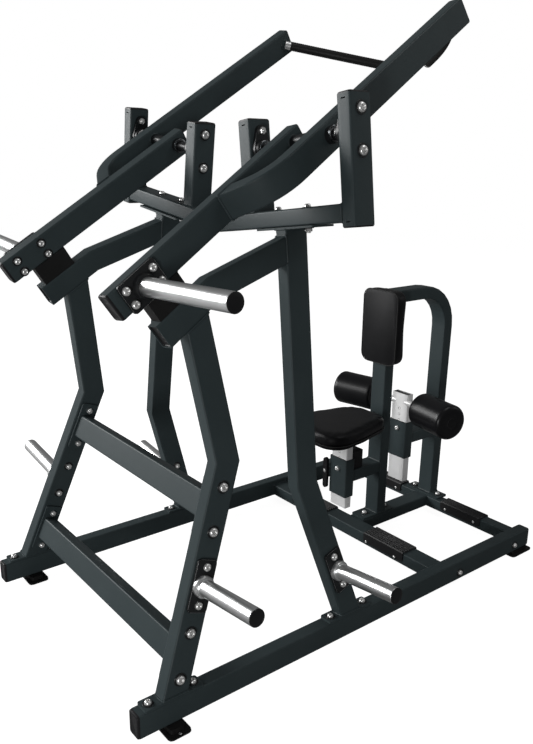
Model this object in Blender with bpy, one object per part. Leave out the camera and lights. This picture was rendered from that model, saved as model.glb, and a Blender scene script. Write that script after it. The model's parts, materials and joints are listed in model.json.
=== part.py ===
"""A plate-loaded lat pulldown machine with two independent levers.

Metres, +Z up. The origin is on the floor under the middle of the base. X runs across the machine,
the weight horns are towards -Y, and the seat, chest pad and thigh rollers are towards +Y.

Each side of the machine stands in a plane that leans inwards about Y. Its pieces are drawn in that
plane's own frame: u is outwards from the plane, y is along the machine, and w is up the plane from
the top of the rail. A lever has a frame of its own on its pivot: u as before, s along the lever
towards the handle, and t square to it, upwards.
"""

import math

import bmesh
import bpy
from mathutils import Matrix, Vector

# Gap between neighbouring solids, and the tube stock.
GAP = 0.0003
TUBE = (0.050, 0.075)
TUBE_WALL = 0.003
TUBE_CORNER = 0.006
PLATE = 0.008

# Base.
FOOT_PLATE = (0.126, 0.074, 0.006)
FOOT_BLOCK = (0.092, 0.048, 0.0197)
FOOT_CORNERS = (0.012, 0.008)
FOOT_Y = {"front": -0.7925, "rear": 0.858}
RAIL_BOTTOM = 0.020
RAIL_TOP = RAIL_BOTTOM + TUBE[1]
RAIL_X = 0.498
RAIL_END_Y = 0.899
CROSS_TOP = 0.075
CROSS_HEIGHT = 0.050
CROSS_TUBES = {"front": (0.3965, 0.075), "rear": (0.8675, 0.052)}
TREAD_X = (0.118, 0.330)
TREAD_THICK = 0.003
TREAD_RIB = 0.0025
TREAD_RIBS = 7
TREAD_FLANGE = 0.036
TREAD_FLANGE_CORNER = 0.012

# Side frames, as (y, w) on tube centre lines.
LEAN = math.radians(7.14)
LEG_TUBE = (0.050, 0.080)
FRONT_BASE = (-0.7865, 0.0)
FRONT_BEND = (-0.5485, 0.6285)
FRONT_UPPER_SLOPE = -0.1516
REAR_BASE = (-0.1075, 0.0)
REAR_BEND = (-0.2635, 0.490)
REAR_TOP = (-0.2495, 1.2590)
BASE_PLATE_LENGTH = 0.190
BRACE_W = {"upper": 0.503, "lower": 0.116}
BRACE_PLATE = (0.175, 0.064)
PEG_W = {"front": 0.300, "rear": 0.176}
PEG_REACH = 0.282
PEG_RADIUS = 0.025
PEG_BORE = 0.021
PEG_PLATE = (0.150, 0.064)
PLATE_CORNER = 0.006
FLANGE_CORNER = 0.010
BOSS_RADIUS = 0.031
BOSS_LENGTH = 0.022
BOSS_BASE = 0.0042
BOSS_CHAMFER = 0.003

# Yoke over each rear post, and the pivot that it carries.
PIVOT_Y = -0.2405
PIVOT_W = 1.497
YOKE_INNER_U = -0.1607
YOKE_OUTER_U = 0.2673
INNER_BRACKET = (0.056, 0.080)
INNER_BRACKET_Y = -0.238
INNER_BRACKET_TOP_W = 1.5825
BRACKET_TOP_W = 1.5875
BRACKET_BOTTOM_W = 1.255
BRACKET_SLOT = (0.016, 0.0035)
BRACKET_SLOT_INSET = 0.012
BEAM_W = 1.2903
HEAD_PLATE = (0.256, 0.082, 0.006)
HEAD_PLATE_U = 0.012
BEARING_BOLT_SPREAD = 0.053
BEARING_BORE = 0.0156
BEARING_FLANGE = 0.012
BEARING_WAIST = 0.031
BEARING_EAR = 0.017
BEARING_HUB = (0.029, 0.027, 0.024)
BEARING_LENGTH = (0.024, 0.027)
SHAFT_RADIUS = 0.0150
SHAFT_END_GAP = 0.006
HUB_RADIUS = 0.020
HUB_CLEARANCE = 0.0006
COLLAR_RADIUS = 0.0235
COLLAR_LENGTH = 0.020

# Levers, in the frame of the pivot.
LEVER_SLOPE = math.radians(33.4)
LEVER_TUBE = (0.050, 0.080)
LEVER_T = -0.0035
LEVER_RANGE_S = (-0.7235, 0.038)
HANDLE_ARM_U = 0.151
HANDLE_ARM_TIP_S = 0.692
HANDLE_ARM_ROOT_S = -0.281
HANDLE_ARM_BRANCH = math.radians(62)
HANDLE_ARM_BEND = 0.125
HORN_S = -0.634
HORN_T = -0.007
HORN_LENGTH = 0.366
HORN_TILT = math.radians(-6.3)
HORN_PLATE = (0.086, 0.128)
STUB_TUBE_T = -0.1495
STUB_END_S = -0.669
TOP_TUBE_SLOPE = 0.3327
TOP_TUBE_POINT = (-0.380, 1.170)
BUMPER_S = (-0.650, -0.530)
BUMPER_HALF_U = 0.022
GRIP_RADIUS = 0.0165
GRIP_START = (HANDLE_ARM_U - LEVER_TUBE[0] / 2 - GAP, 0.6635, -0.005)
GRIP_MIDDLE = (-0.004, 0.777, -0.104)
GRIP_END = (-0.187, 0.868, -0.191)

# Seat, chest pad and thigh rollers, all on the middle plane.
POST_TUBE = (0.075, 0.050)
PAD_POST_Y = 0.5435
PAD_POST_TOP = 1.038
PAD_POST_PLATE = (0.075, 0.178)
PAD_POST_PLATE_Y = 0.529
CHEST_PAD = (0.188, 0.064, 0.302)
CHEST_PAD_CORNER = 0.035
CHEST_PAD_Z = 0.8940
REAR_LEG_Y = {"bottom": 0.889, "top": 0.901}
REAR_LEG_PLATE = (0.185, 0.064)
REAR_LEG_PLATE_Y = 0.8795
ARCH_Z = 1.013
ARCH_BEND = 0.155
SLEEVE_SIZE = (0.098, 0.047)
SLEEVE_WALL = 0.0052
POST_SIZE = (0.087, 0.034)
POST_WALL = 0.0025
SEAT_POST_Y = 0.333
SEAT_SLEEVE_Z = (0.217, 0.377)
SEAT_ARM_Z = 0.2965
SEAT_POST_BOTTOM = 0.1666
SEAT_PLATE = (0.160, 0.200, 0.006)
SEAT_PAD_Z = (0.490, 0.548)
SEAT_OUTLINE = ((0.084, 0.205, 0.075), (0.078, 0.290, 0.070), (0.034, 0.412, 0.082))
LOCK_BOX = (0.060, 0.422, 0.400)
ROLLER_POST_Y = 0.677
ROLLER_SLEEVE_Z = (0.305, 0.465)
ROLLER_ARM_Z = 0.386
ROLLER_POST_Z = (0.196, 0.588)
ROLLER_AXLE_Z = 0.551
ROLLER_AXLE_RADIUS = 0.0125
ROLLER_AXLE_REACH = 0.316
ROLLER_SWEEP = math.radians(11.3)
ROLLER_RADIUS = 0.071
ROLLER_BORE = 0.0133
ROLLER_ALONG = (0.129, 0.322)
RELEASE_SIZE = (0.022, 0.012, 0.132)
RELEASE_TOP = 0.046
RELEASE_RISE = 0.008
RELEASE_X = -0.063
RELEASE_LUG = (0.009, 0.022, 0.020)
GUIDE_CORNER = 0.002
HOLLOW_CORNER = 0.003
POST_CORNER = 0.004
OVERRUN = 0.02

COLOURS = {
    "powder_coat": ((0.045, 0.055, 0.057), 0.45, 0.0),
    "black_plastic": ((0.012, 0.012, 0.012), 0.5, 0.0),
    "rubber": ((0.015, 0.015, 0.015), 0.8, 0.0),
    "vinyl": ((0.020, 0.020, 0.021), 0.55, 0.0),
    "foam": ((0.012, 0.012, 0.012), 0.45, 0.0),
    "chrome": ((0.80, 0.80, 0.82), 0.18, 1.0),
    "plated_steel": ((0.70, 0.70, 0.71), 0.35, 1.0),
    "black_steel": ((0.020, 0.021, 0.022), 0.4, 0.0),
}
HANDS = {"right": 1, "left": -1}
X = Vector((1, 0, 0))
Y = Vector((0, 1, 0))
Z = Vector((0, 0, 1))


def clear_scene():
    for obj in list(bpy.data.objects):
        bpy.data.objects.remove(obj, do_unlink=True)


def material(slot):
    found = bpy.data.materials.get(slot)
    if found:
        return found
    colour, roughness, metallic = COLOURS[slot]
    made = bpy.data.materials.new(slot)
    made.use_nodes = True
    shader = made.node_tree.nodes["Principled BSDF"]
    shader.inputs["Base Color"].default_value = (*colour, 1)
    shader.inputs["Roughness"].default_value = roughness
    shader.inputs["Metallic"].default_value = metallic
    return made


def object_from(name, bm, slot, parent=None):
    """An object made from a closed bmesh, with its faces turned outwards and its round stretches smooth."""
    bmesh.ops.remove_doubles(bm, verts=bm.verts, dist=1e-6)
    bmesh.ops.recalc_face_normals(bm, faces=bm.faces)
    mesh = bpy.data.meshes.new(name)
    bm.to_mesh(mesh)
    bm.free()
    mesh.shade_smooth()
    mesh.set_sharp_from_angle(angle=math.radians(38))
    obj = bpy.data.objects.new(name, mesh)
    bpy.context.scene.collection.objects.link(obj)
    obj.data.materials.append(material(slot))
    obj.parent = parent
    return obj


def combine(obj, other, operation):
    """Adds a Boolean with a helper object, which stays out of the render."""
    other.hide_render = True
    other.display_type = "WIRE"
    modifier = obj.modifiers.new(other.name, "BOOLEAN")
    modifier.object = other
    modifier.operation = operation
    modifier.solver = "EXACT"
    return obj


def empty(name, location, rotation=(0, 0, 0), parent=None):
    obj = bpy.data.objects.new(name, None)
    bpy.context.scene.collection.objects.link(obj)
    obj.location = location
    obj.rotation_euler = rotation
    obj.parent = parent
    return obj


def rounded_rectangle(across, deep, corner, steps=2):
    """Points of a rounded rectangle centred on the origin, anticlockwise."""
    points = []
    for quarter, (a, b) in enumerate(((1, 1), (-1, 1), (-1, -1), (1, -1))):
        for step in range(steps + 1):
            angle = math.pi / 2 * (quarter + step / steps)
            points.append(
                (
                    a * (across / 2 - corner) + corner * math.cos(angle),
                    b * (deep / 2 - corner) + corner * math.sin(angle),
                )
            )
    return points


def hull(circles, steps=20):
    """Convex outline round circles (x, y, radius), anticlockwise."""
    points = sorted(
        (x + r * math.cos(2 * math.pi * i / steps), y + r * math.sin(2 * math.pi * i / steps))
        for x, y, r in circles
        for i in range(steps)
    )

    def half(ordered):
        chain = []
        for point in ordered:
            while len(chain) > 1:
                (ax, ay), (bx, by) = chain[-2:]
                if (bx - ax) * (point[1] - ay) - (by - ay) * (point[0] - ax) > 1e-9:
                    break
                chain.pop()
            chain.append(point)
        return chain[:-1]

    return half(points) + half(points[::-1])


def rounded_path(points, radius, steps=7):
    """A polyline with its inner corners turned into arcs."""
    points = [Vector(p) for p in points]
    path = [points[0]]
    for before, corner, after in zip(points, points[1:], points[2:]):
        back = (before - corner).normalized()
        on = (after - corner).normalized()
        half_turn = (math.pi - back.angle(on)) / 2
        start = corner + back * radius * math.tan(half_turn)
        centre = corner + (back + on).normalized() * radius / math.cos(half_turn)
        axis = back.cross(on)
        for step in range(steps + 1):
            turn = Matrix.Rotation(-2 * half_turn * step / steps, 3, axis)
            path.append(centre + turn @ (start - centre))
    path.append(points[-1])
    return path


def sections(path, normal, profile, start_plane=None, end_plane=None):
    """The profile at each point of a flat path, on mitre planes and on the given end planes."""
    found = []
    for i, point in enumerate(path):
        ahead = (path[min(i + 1, len(path) - 1)] - path[min(i, len(path) - 2)]).normalized()
        behind = (path[max(i, 1)] - path[max(i - 1, 0)]).normalized()
        plane = (ahead + behind).normalized()
        if i == 0 and start_plane:
            plane = Vector(start_plane)
        if i == len(path) - 1 and end_plane:
            plane = Vector(end_plane)
        along = behind if i else ahead
        side = along.cross(normal)
        ring = []
        for a, b in profile:
            offset = normal * a + side * b
            ring.append(point + offset - along * (offset.dot(plane) / along.dot(plane)))
        found.append(ring)
    return found


def skin(bm, rings):
    """Faces between neighbouring rings, and the rings' vertices."""
    made = [[bm.verts.new(p) for p in ring] for ring in rings]
    for one, two in zip(made, made[1:]):
        for i in range(len(one)):
            j = (i + 1) % len(one)
            bm.faces.new((one[i], one[j], two[j], two[i]))
    return made


def hollow_tube(name, path, normal, size, wall, slot, parent, planes=(None, None), corner=TUBE_CORNER):
    """An open-ended tube along a flat path: size is (along the normal, across the path)."""
    path = [Vector(p) for p in path]
    bm = bmesh.new()
    outer = rounded_rectangle(*size, corner)
    inner = rounded_rectangle(size[0] - 2 * wall, size[1] - 2 * wall, max(corner - wall, 0.001))
    shells = [skin(bm, sections(path, normal, profile, *planes)) for profile in (outer, inner)]
    for end in (0, -1):
        one, two = shells[0][end], shells[1][end]
        for i in range(len(one)):
            j = (i + 1) % len(one)
            bm.faces.new((one[i], one[j], two[j], two[i]))
    return object_from(name, bm, slot, parent)


def tube_inside(size):
    return size[0] - 2 * TUBE_WALL, size[1] - 2 * TUBE_WALL


def solid_bar(name, path, normal, size, slot, parent, planes=(None, None), corner=TUBE_CORNER):
    """The same as hollow_tube, filled."""
    bm = bmesh.new()
    profile = rounded_rectangle(*size, corner)
    rings = skin(bm, sections([Vector(p) for p in path], normal, profile, *planes))
    bm.faces.new(rings[0])
    bm.faces.new(rings[-1])
    return object_from(name, bm, slot, parent)


def box(name, low, high, slot, parent=None, bevel=0.0):
    bm = bmesh.new()
    low, high = Vector(low), Vector(high)
    bmesh.ops.create_cube(bm, size=1)
    for vert in bm.verts:
        vert.co = Vector((low[i] + (vert.co[i] + 0.5) * (high[i] - low[i]) for i in range(3)))
    if bevel:
        bmesh.ops.bevel(bm, geom=bm.edges, offset=bevel, segments=1, affect="EDGES")
    return object_from(name, bm, slot, parent)


def prism(name, outline, base, across, up, depth, slot, parent=None):
    """An outline of (a, b) points in the plane of across and up, extruded by the vector depth."""
    bm = bmesh.new()
    bottom = [bm.verts.new(Vector(base) + across * a + up * b) for a, b in outline]
    top = [bm.verts.new(v.co + depth) for v in bottom]
    bm.faces.new(bottom)
    bm.faces.new(top)
    for i in range(len(bottom)):
        j = (i + 1) % len(bottom)
        bm.faces.new((bottom[i], bottom[j], top[j], top[i]))
    return object_from(name, bm, slot, parent)


def turned(name, profile, base, axis, slot, parent=None, segments=24):
    """A body of revolution: profile is (radius, distance along the axis), closed if it leaves the axis."""
    bm = bmesh.new()
    verts = [bm.verts.new((r, 0, h)) for r, h in profile]
    pairs = list(zip(verts, verts[1:]))
    if profile[0][0] > 0 and profile[-1][0] > 0:
        pairs.append((verts[-1], verts[0]))
    edges = [bm.edges.new(pair) for pair in pairs]
    geometry = verts + edges
    bmesh.ops.spin(
        bm, geom=geometry, axis=Z, cent=(0, 0, 0), steps=segments, angle=2 * math.pi, use_merge=True
    )
    turn = Z.rotation_difference(Vector(axis)).to_matrix().to_4x4()
    bmesh.ops.transform(bm, matrix=Matrix.Translation(Vector(base)) @ turn, verts=bm.verts)
    return object_from(name, bm, slot, parent)


def cylinder(name, base, axis, radius, length, parent=None):
    profile = [(0, 0), (radius, 0), (radius, length), (0, length)]
    return turned(name, profile, base, axis, "black_steel", parent)


# ---------------------------------------------------------------- base


def rails_and_feet():
    """A rail on each side. The front feet lie across their rail and the rear ones along it."""
    z = RAIL_TOP - TUBE[1] / 2
    for side, hand in HANDS.items():
        path = [(hand * RAIL_X, -RAIL_END_Y, z), (hand * RAIL_X, RAIL_END_Y, z)]
        hollow_tube(f"base_rail_{side}", path, X, TUBE, TUBE_WALL, "powder_coat", None)
        for end, y in FOOT_Y.items():
            across, along = (X, Y) if end == "front" else (Y, X)
            base = Vector((hand * RAIL_X, y, 0))
            long, wide, thick = FOOT_PLATE
            outline = rounded_rectangle(long, wide, FOOT_CORNERS[0])
            foot = prism(f"foot_{end}_{side}", outline, base, across, along, Z * thick, "rubber")
            long, wide, tall = FOOT_BLOCK
            outline = rounded_rectangle(long, wide, FOOT_CORNERS[1])
            low = base + Z * thick / 2
            rise = Z * (tall - thick / 2)
            block = prism(f"foot_{end}_{side}_block", outline, low, across, along, rise, "rubber")
            combine(foot, block, "UNION")


def cross_tubes():
    half = RAIL_X - TUBE[0] / 2 - GAP
    z = CROSS_TOP - CROSS_HEIGHT / 2
    for end, (y, width) in CROSS_TUBES.items():
        path = [(-half, y, z), (half, y, z)]
        hollow_tube(f"cross_tube_{end}", path, Y, (width, CROSS_HEIGHT), TUBE_WALL, "powder_coat", None)
    front, rear = CROSS_TUBES["front"], CROSS_TUBES["rear"]
    path = [(0, front[0] + front[1] / 2 + GAP, z), (0, rear[0] - rear[1] / 2 - GAP, z)]
    hollow_tube("centre_spine", path, X, (TUBE[1], CROSS_HEIGHT), TUBE_WALL, "powder_coat", None)


def tread_top(half):
    """Cross-section of the top of a foot tread, with ribs along it."""
    pitch = 2 * half / TREAD_RIBS
    points = [(-half, 0)]
    for i in range(TREAD_RIBS):
        left = -half + pitch * i
        points += [
            (left + 0.2 * pitch, TREAD_THICK),
            (left + 0.3 * pitch, TREAD_THICK + TREAD_RIB),
            (left + 0.7 * pitch, TREAD_THICK + TREAD_RIB),
            (left + 0.8 * pitch, TREAD_THICK),
        ]
    return points + [(half, 0)]


def tread_flange(corner):
    """Half of a flange's outline: it hangs down from the top and has round lower corners."""
    length = TREAD_X[1] - TREAD_X[0]
    points = [(length, 0.001), (0, 0.001)]
    for centre, start in ((corner, math.pi), (length - corner, 1.5 * math.pi)):
        for step in range(5):
            angle = start + step * math.pi / 8
            height = corner - TREAD_FLANGE + corner * math.sin(angle)
            points.append((centre + corner * math.cos(angle), height))
    return points


def treads():
    """A ribbed plastic cover over the cross tube for each foot, with a flange down both sides."""
    for end, (y, width) in CROSS_TUBES.items():
        half = width / 2 + GAP + TREAD_THICK
        for side, hand in HANDS.items():
            name = f"foot_tread_{end}_{side}"
            low = TREAD_X[0] if hand > 0 else -TREAD_X[1]
            base = Vector((low, y, CROSS_TOP + GAP))
            body = prism(name, tread_top(half), base, Y, Z, X * (TREAD_X[1] - TREAD_X[0]), "black_plastic")
            for facing in (1, -1):
                start = base + Y * facing * half
                flange = prism(
                    f"{name}_flange_{facing}", tread_flange(TREAD_FLANGE_CORNER), start, X, Z,
                    -Y * facing * TREAD_THICK, "black_plastic",
                )
                combine(body, flange, "UNION")


# ---------------------------------------------------------------- side frames


def lerp(one, two, share):
    return tuple(a + (b - a) * share for a, b in zip(one, two))


def at_w(base, bend, w):
    """The point of a leg's lower centre line at height w."""
    return lerp(base, bend, (w - base[1]) / (bend[1] - base[1]))


def world_axes(hand):
    """The world's X and Z, as seen in the frame of one side."""
    cos, sin = math.cos(LEAN), hand * math.sin(LEAN)
    return Vector((cos, 0, -sin)), Vector((sin, 0, cos))


def lever_to_side(s, t):
    """(y, w) of a point of the lever's plane."""
    cos, sin = math.cos(LEVER_SLOPE), math.sin(LEVER_SLOPE)
    return PIVOT_Y + s * cos - t * sin, PIVOT_W + s * sin + t * cos


def leg(name, centre_line, base_y, top_plane, frame, hand, head_plate=None):
    """A bent post on a plate on the rail. Its hollow runs out through the base plate."""
    across, up = world_axes(hand)
    points = [Vector((0, *p)) for p in centre_line]
    foot = points[0] + (points[1] - points[0]) * 0.005 / (points[1] - points[0]).z
    top = points[-1]
    direction = (top - points[-2]).normalized()
    reach = direction * head_plate[2] / 2 if head_plate else Vector()
    path = [foot, *points[1:-1], top + reach]
    body = solid_bar(name, path, X, LEG_TUBE, "powder_coat", frame, (up, top_plane))
    outline = rounded_rectangle(LEG_TUBE[0], BASE_PLATE_LENGTH, PLATE_CORNER)
    low = Vector((0, base_y, 0)) + up * GAP
    base = prism(f"{name}_plate", outline, low, across, Y, up * PLATE, "powder_coat", frame)
    combine(body, base, "UNION")
    inner_size = tube_inside(LEG_TUBE)
    below = points[0] - (points[1] - points[0]) * 0.05
    above = top + direction * 0.05
    if head_plate:
        across_plate, deep, thick = head_plate
        above = top - direction * thick / 2
        outline = rounded_rectangle(across_plate, deep, PLATE_CORNER)
        centre = top + X * hand * HEAD_PLATE_U
        plate = prism(f"{name}_head", outline, centre, X, Y, Z * thick, "powder_coat", frame)
        combine(body, plate, "UNION")
    path = [below, *points[1:-1], above]
    hollow = solid_bar(
        f"{name}_hollow", path, X, inner_size, "powder_coat", frame, corner=HOLLOW_CORNER
    )
    combine(body, hollow, "DIFFERENCE")
    return body


def side_frame(side, hand, frame):
    normal_t = Vector((0, -math.sin(LEVER_SLOPE), math.cos(LEVER_SLOPE)))
    # The steep end of the top tube runs parallel to the lever, and the rest of it less steeply.
    stub_end = Vector((0, *lever_to_side(STUB_END_S, STUB_TUBE_T)))
    steep = math.tan(LEVER_SLOPE)
    start_y, start_w = lever_to_side(0, STUB_TUBE_T)
    rise = start_w - steep * start_y - TOP_TUBE_POINT[1] + TOP_TUBE_SLOPE * TOP_TUBE_POINT[0]
    bend_y = rise / (TOP_TUBE_SLOPE - steep)
    bend = Vector((0, bend_y, start_w + steep * (bend_y - start_y)))
    post_lean = (REAR_TOP[0] - REAR_BEND[0]) / (REAR_TOP[1] - REAR_BEND[1])
    post_front = Vector((0, 1, -post_lean)).normalized()
    end_y = REAR_TOP[0] - LEG_TUBE[1] / 2 - GAP - post_lean * (REAR_TOP[1] - TOP_TUBE_POINT[1])
    end = Vector((0, end_y, TOP_TUBE_POINT[1] + TOP_TUBE_SLOPE * (end_y - TOP_TUBE_POINT[0])))
    path = [stub_end, bend, end]
    hollow_tube(f"top_tube_{side}", path, X, TUBE, TUBE_WALL, "powder_coat", frame, (None, post_front))

    # The front upright stops under the steep end of the top tube.
    under = STUB_TUBE_T - TUBE[1] / 2 - GAP
    bend_y, bend_w = FRONT_BEND
    offset_t = Vector((0, bend_y - PIVOT_Y, bend_w - PIVOT_W)).dot(normal_t)
    rise = (under - offset_t) / Vector((0, FRONT_UPPER_SLOPE, 1)).dot(normal_t)
    front_top = (bend_y + FRONT_UPPER_SLOPE * rise, bend_w + rise)
    leg(f"front_upright_{side}", [FRONT_BASE, FRONT_BEND, front_top], FRONT_BASE[0], normal_t, frame, hand)
    leg(f"rear_post_{side}", [REAR_BASE, REAR_BEND, REAR_TOP], REAR_BASE[0], Z, frame, hand, HEAD_PLATE)

    low, high = STUB_TUBE_T + TUBE[1] / 2 + GAP, LEVER_T - LEVER_TUBE[1] / 2 - GAP
    ends = ((BUMPER_S[0], low), (BUMPER_S[1], low), (BUMPER_S[1], high), (BUMPER_S[0], high))
    corners = [lever_to_side(s, t) for s, t in ends]
    prism(f"bumper_{side}", corners, -X * BUMPER_HALF_U, Y, Z, X * 2 * BUMPER_HALF_U, "rubber", frame)


def braces():
    """The two lateral tubes between the front uprights, each with a bolted plate at both ends."""
    along = Vector((0, FRONT_BEND[0] - FRONT_BASE[0], FRONT_BEND[1] - FRONT_BASE[1])).normalized()
    for place, w in BRACE_W.items():
        y, _ = at_w(FRONT_BASE, FRONT_BEND, w)
        inner_face = -TUBE[0] / 2 - GAP
        frame = Matrix.Translation((RAIL_X, 0, RAIL_TOP)) @ Matrix.Rotation(-LEAN, 4, "Y")
        face = frame @ Vector((inner_face, y, w))
        outwards = frame.to_3x3() @ X
        up = (frame.to_3x3() @ along).normalized()
        deep = Vector((0, up.y, up.z)).normalized()
        mirror = Matrix.Diagonal((-1, 1, 1))
        body = solid_bar(
            f"brace_{place}",
            [mirror @ (face - outwards * PLATE * 0.5), face - outwards * PLATE * 0.5],
            X.cross(deep).normalized(),
            LEG_TUBE,
            "powder_coat",
            None,
            (mirror @ outwards, outwards),
        )
        outline = rounded_rectangle(BRACE_PLATE[1], BRACE_PLATE[0], 0.008)
        for hand in (1, -1):
            flip = Matrix.Diagonal((hand, 1, 1))
            plate = prism(
                f"brace_{place}_plate_{hand}", outline, flip @ face, flip @ outwards.cross(up), flip @ up,
                flip @ (-outwards * PLATE), "powder_coat",
            )
            combine(body, plate, "UNION")
        reach = X * (face.x + 0.05)
        centre = Vector((0, face.y, (face - outwards * PLATE * 0.5).z))
        path = [centre - reach, centre + reach]
        across = X.cross(deep).normalized()
        hollow = solid_bar(
            f"brace_{place}_hollow", path, across, tube_inside(LEG_TUBE), "powder_coat", None,
            corner=HOLLOW_CORNER,
        )
        combine(body, hollow, "DIFFERENCE")


def peg(name, plate_base, outwards, along, direction, length, plate_size, slot, frame):
    """A weight peg: a flange plate, a boss and a tube that is open at its outer end."""
    across = outwards.cross(along).normalized()
    outline = rounded_rectangle(*plate_size, FLANGE_CORNER)
    body = prism(name, outline, plate_base, across, along, outwards * PLATE, slot, frame)
    floor = BOSS_LENGTH + PLATE
    profile = [
        (0, BOSS_BASE), (BOSS_RADIUS, BOSS_BASE), (BOSS_RADIUS, BOSS_LENGTH - BOSS_CHAMFER),
        (BOSS_RADIUS - BOSS_CHAMFER, BOSS_LENGTH), (PEG_RADIUS, BOSS_LENGTH), (PEG_RADIUS, length - 0.002),
        (PEG_RADIUS - 0.002, length), (PEG_BORE, length), (PEG_BORE, floor), (0, floor),
    ]
    sleeve = turned(f"{name}_sleeve", profile, plate_base, direction, slot, frame)
    return combine(body, sleeve, "UNION")


def storage_pegs(side, hand, frame):
    legs = {"front": (FRONT_BASE, FRONT_BEND), "rear": (REAR_BASE, REAR_BEND)}
    for place, (base, bend) in legs.items():
        y, w = at_w(base, bend, PEG_W[place])
        along = Vector((0, bend[0] - base[0], bend[1] - base[1])).normalized()
        start = Vector((hand * (TUBE[0] / 2 + GAP), y, w))
        length = PEG_REACH - TUBE[0] / 2
        name = f"storage_peg_{place}_{side}"
        peg(name, start, X * hand, along, X * hand, length, PEG_PLATE[::-1], "chrome", frame)


# ---------------------------------------------------------------- yoke and bearings


def bracket(name, place, heights, size, slots, frame):
    """An upright that carries a bearing, with a slot in its front face at each height listed."""
    u, y = place
    path = [(u, y, w) for w in heights]
    body = hollow_tube(name, path, X, size, TUBE_WALL, "powder_coat", frame)
    front = y - size[1] / 2
    for i, w in enumerate(slots):
        half = Vector((BRACKET_SLOT[0] / 2, 2 * TUBE_WALL, BRACKET_SLOT[1] / 2))
        centre = Vector((u, front, w))
        slot = box(f"{name}_slot_{i}", centre - half, centre + half, "powder_coat", frame)
        combine(body, slot, "DIFFERENCE")


def bearing(name, face, towards, frame):
    """A two-bolt flange bearing on a bracket's face, with its hub towards the lever."""
    base = Vector((face, PIVOT_Y, PIVOT_W))
    ears = [(0, way * BEARING_BOLT_SPREAD, BEARING_EAR) for way in (1, -1)]
    outline = hull([(0, 0, BEARING_WAIST), *ears])
    body = prism(name, outline, base, Y, Z, towards * BEARING_FLANGE, "black_steel", frame)
    root, shoulder, tip = BEARING_HUB
    low, high = BEARING_LENGTH
    profile = [(0, 0.002), (root, 0.002), (shoulder, low), (tip, high), (0, high)]
    hub = turned(f"{name}_hub", profile, base, towards, "black_steel", frame)
    combine(body, hub, "UNION")
    bore = cylinder(f"{name}_bore", base - towards * 0.01, towards, BEARING_BORE, 0.06, frame)
    combine(body, bore, "DIFFERENCE")


def yoke(side, hand, frame):
    """The two uprights of one lever: one stands on the crossbeam, the outer one closes its end."""
    inner_face = YOKE_INNER_U + INNER_BRACKET[0] / 2 + GAP
    outer_face = YOKE_OUTER_U - TUBE[0] / 2 - GAP
    inset = BRACKET_SLOT_INSET
    inner = (BEAM_W + TUBE[0] / 2 + GAP, INNER_BRACKET_TOP_W)
    place = (hand * YOKE_INNER_U, INNER_BRACKET_Y)
    bracket(f"pivot_bracket_inner_{side}", place, inner, INNER_BRACKET, [inner[1] - inset], frame)
    outer = (BRACKET_BOTTOM_W, BRACKET_TOP_W)
    place = (hand * YOKE_OUTER_U, PIVOT_Y)
    bracket(f"pivot_bracket_outer_{side}", place, outer, TUBE, [outer[0] + inset, outer[1] - inset], frame)
    bearing(f"pivot_bearing_inner_{side}", hand * inner_face, X * hand, frame)
    bearing(f"pivot_bearing_outer_{side}", hand * outer_face, -X * hand, frame)


def crossbeam():
    """A shallow V across the machine, square to both side planes, between the outer uprights."""
    outer = YOKE_OUTER_U - TUBE[0] / 2 - GAP
    middle = (BEAM_W * math.sin(LEAN) - RAIL_X) / math.cos(LEAN)
    ends = {}
    for u in (outer, middle):
        x = RAIL_X + u * math.cos(LEAN) - BEAM_W * math.sin(LEAN)
        ends[u] = Vector((x, PIVOT_Y, RAIL_TOP + u * math.sin(LEAN) + BEAM_W * math.cos(LEAN)))
    mirror = Matrix.Diagonal((-1, 1, 1))
    path = [mirror @ ends[outer], ends[middle], ends[outer]]
    hollow_tube("crossbeam", path, Y, (TUBE[1], TUBE[0]), TUBE_WALL, "powder_coat", None)


# ---------------------------------------------------------------- levers


def pivot_hole(name, obj, u, frame):
    cutter = cylinder(name, (u - 0.06, 0, 0), X, HUB_RADIUS + HUB_CLEARANCE, 0.12, frame)
    combine(obj, cutter, "DIFFERENCE")


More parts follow.
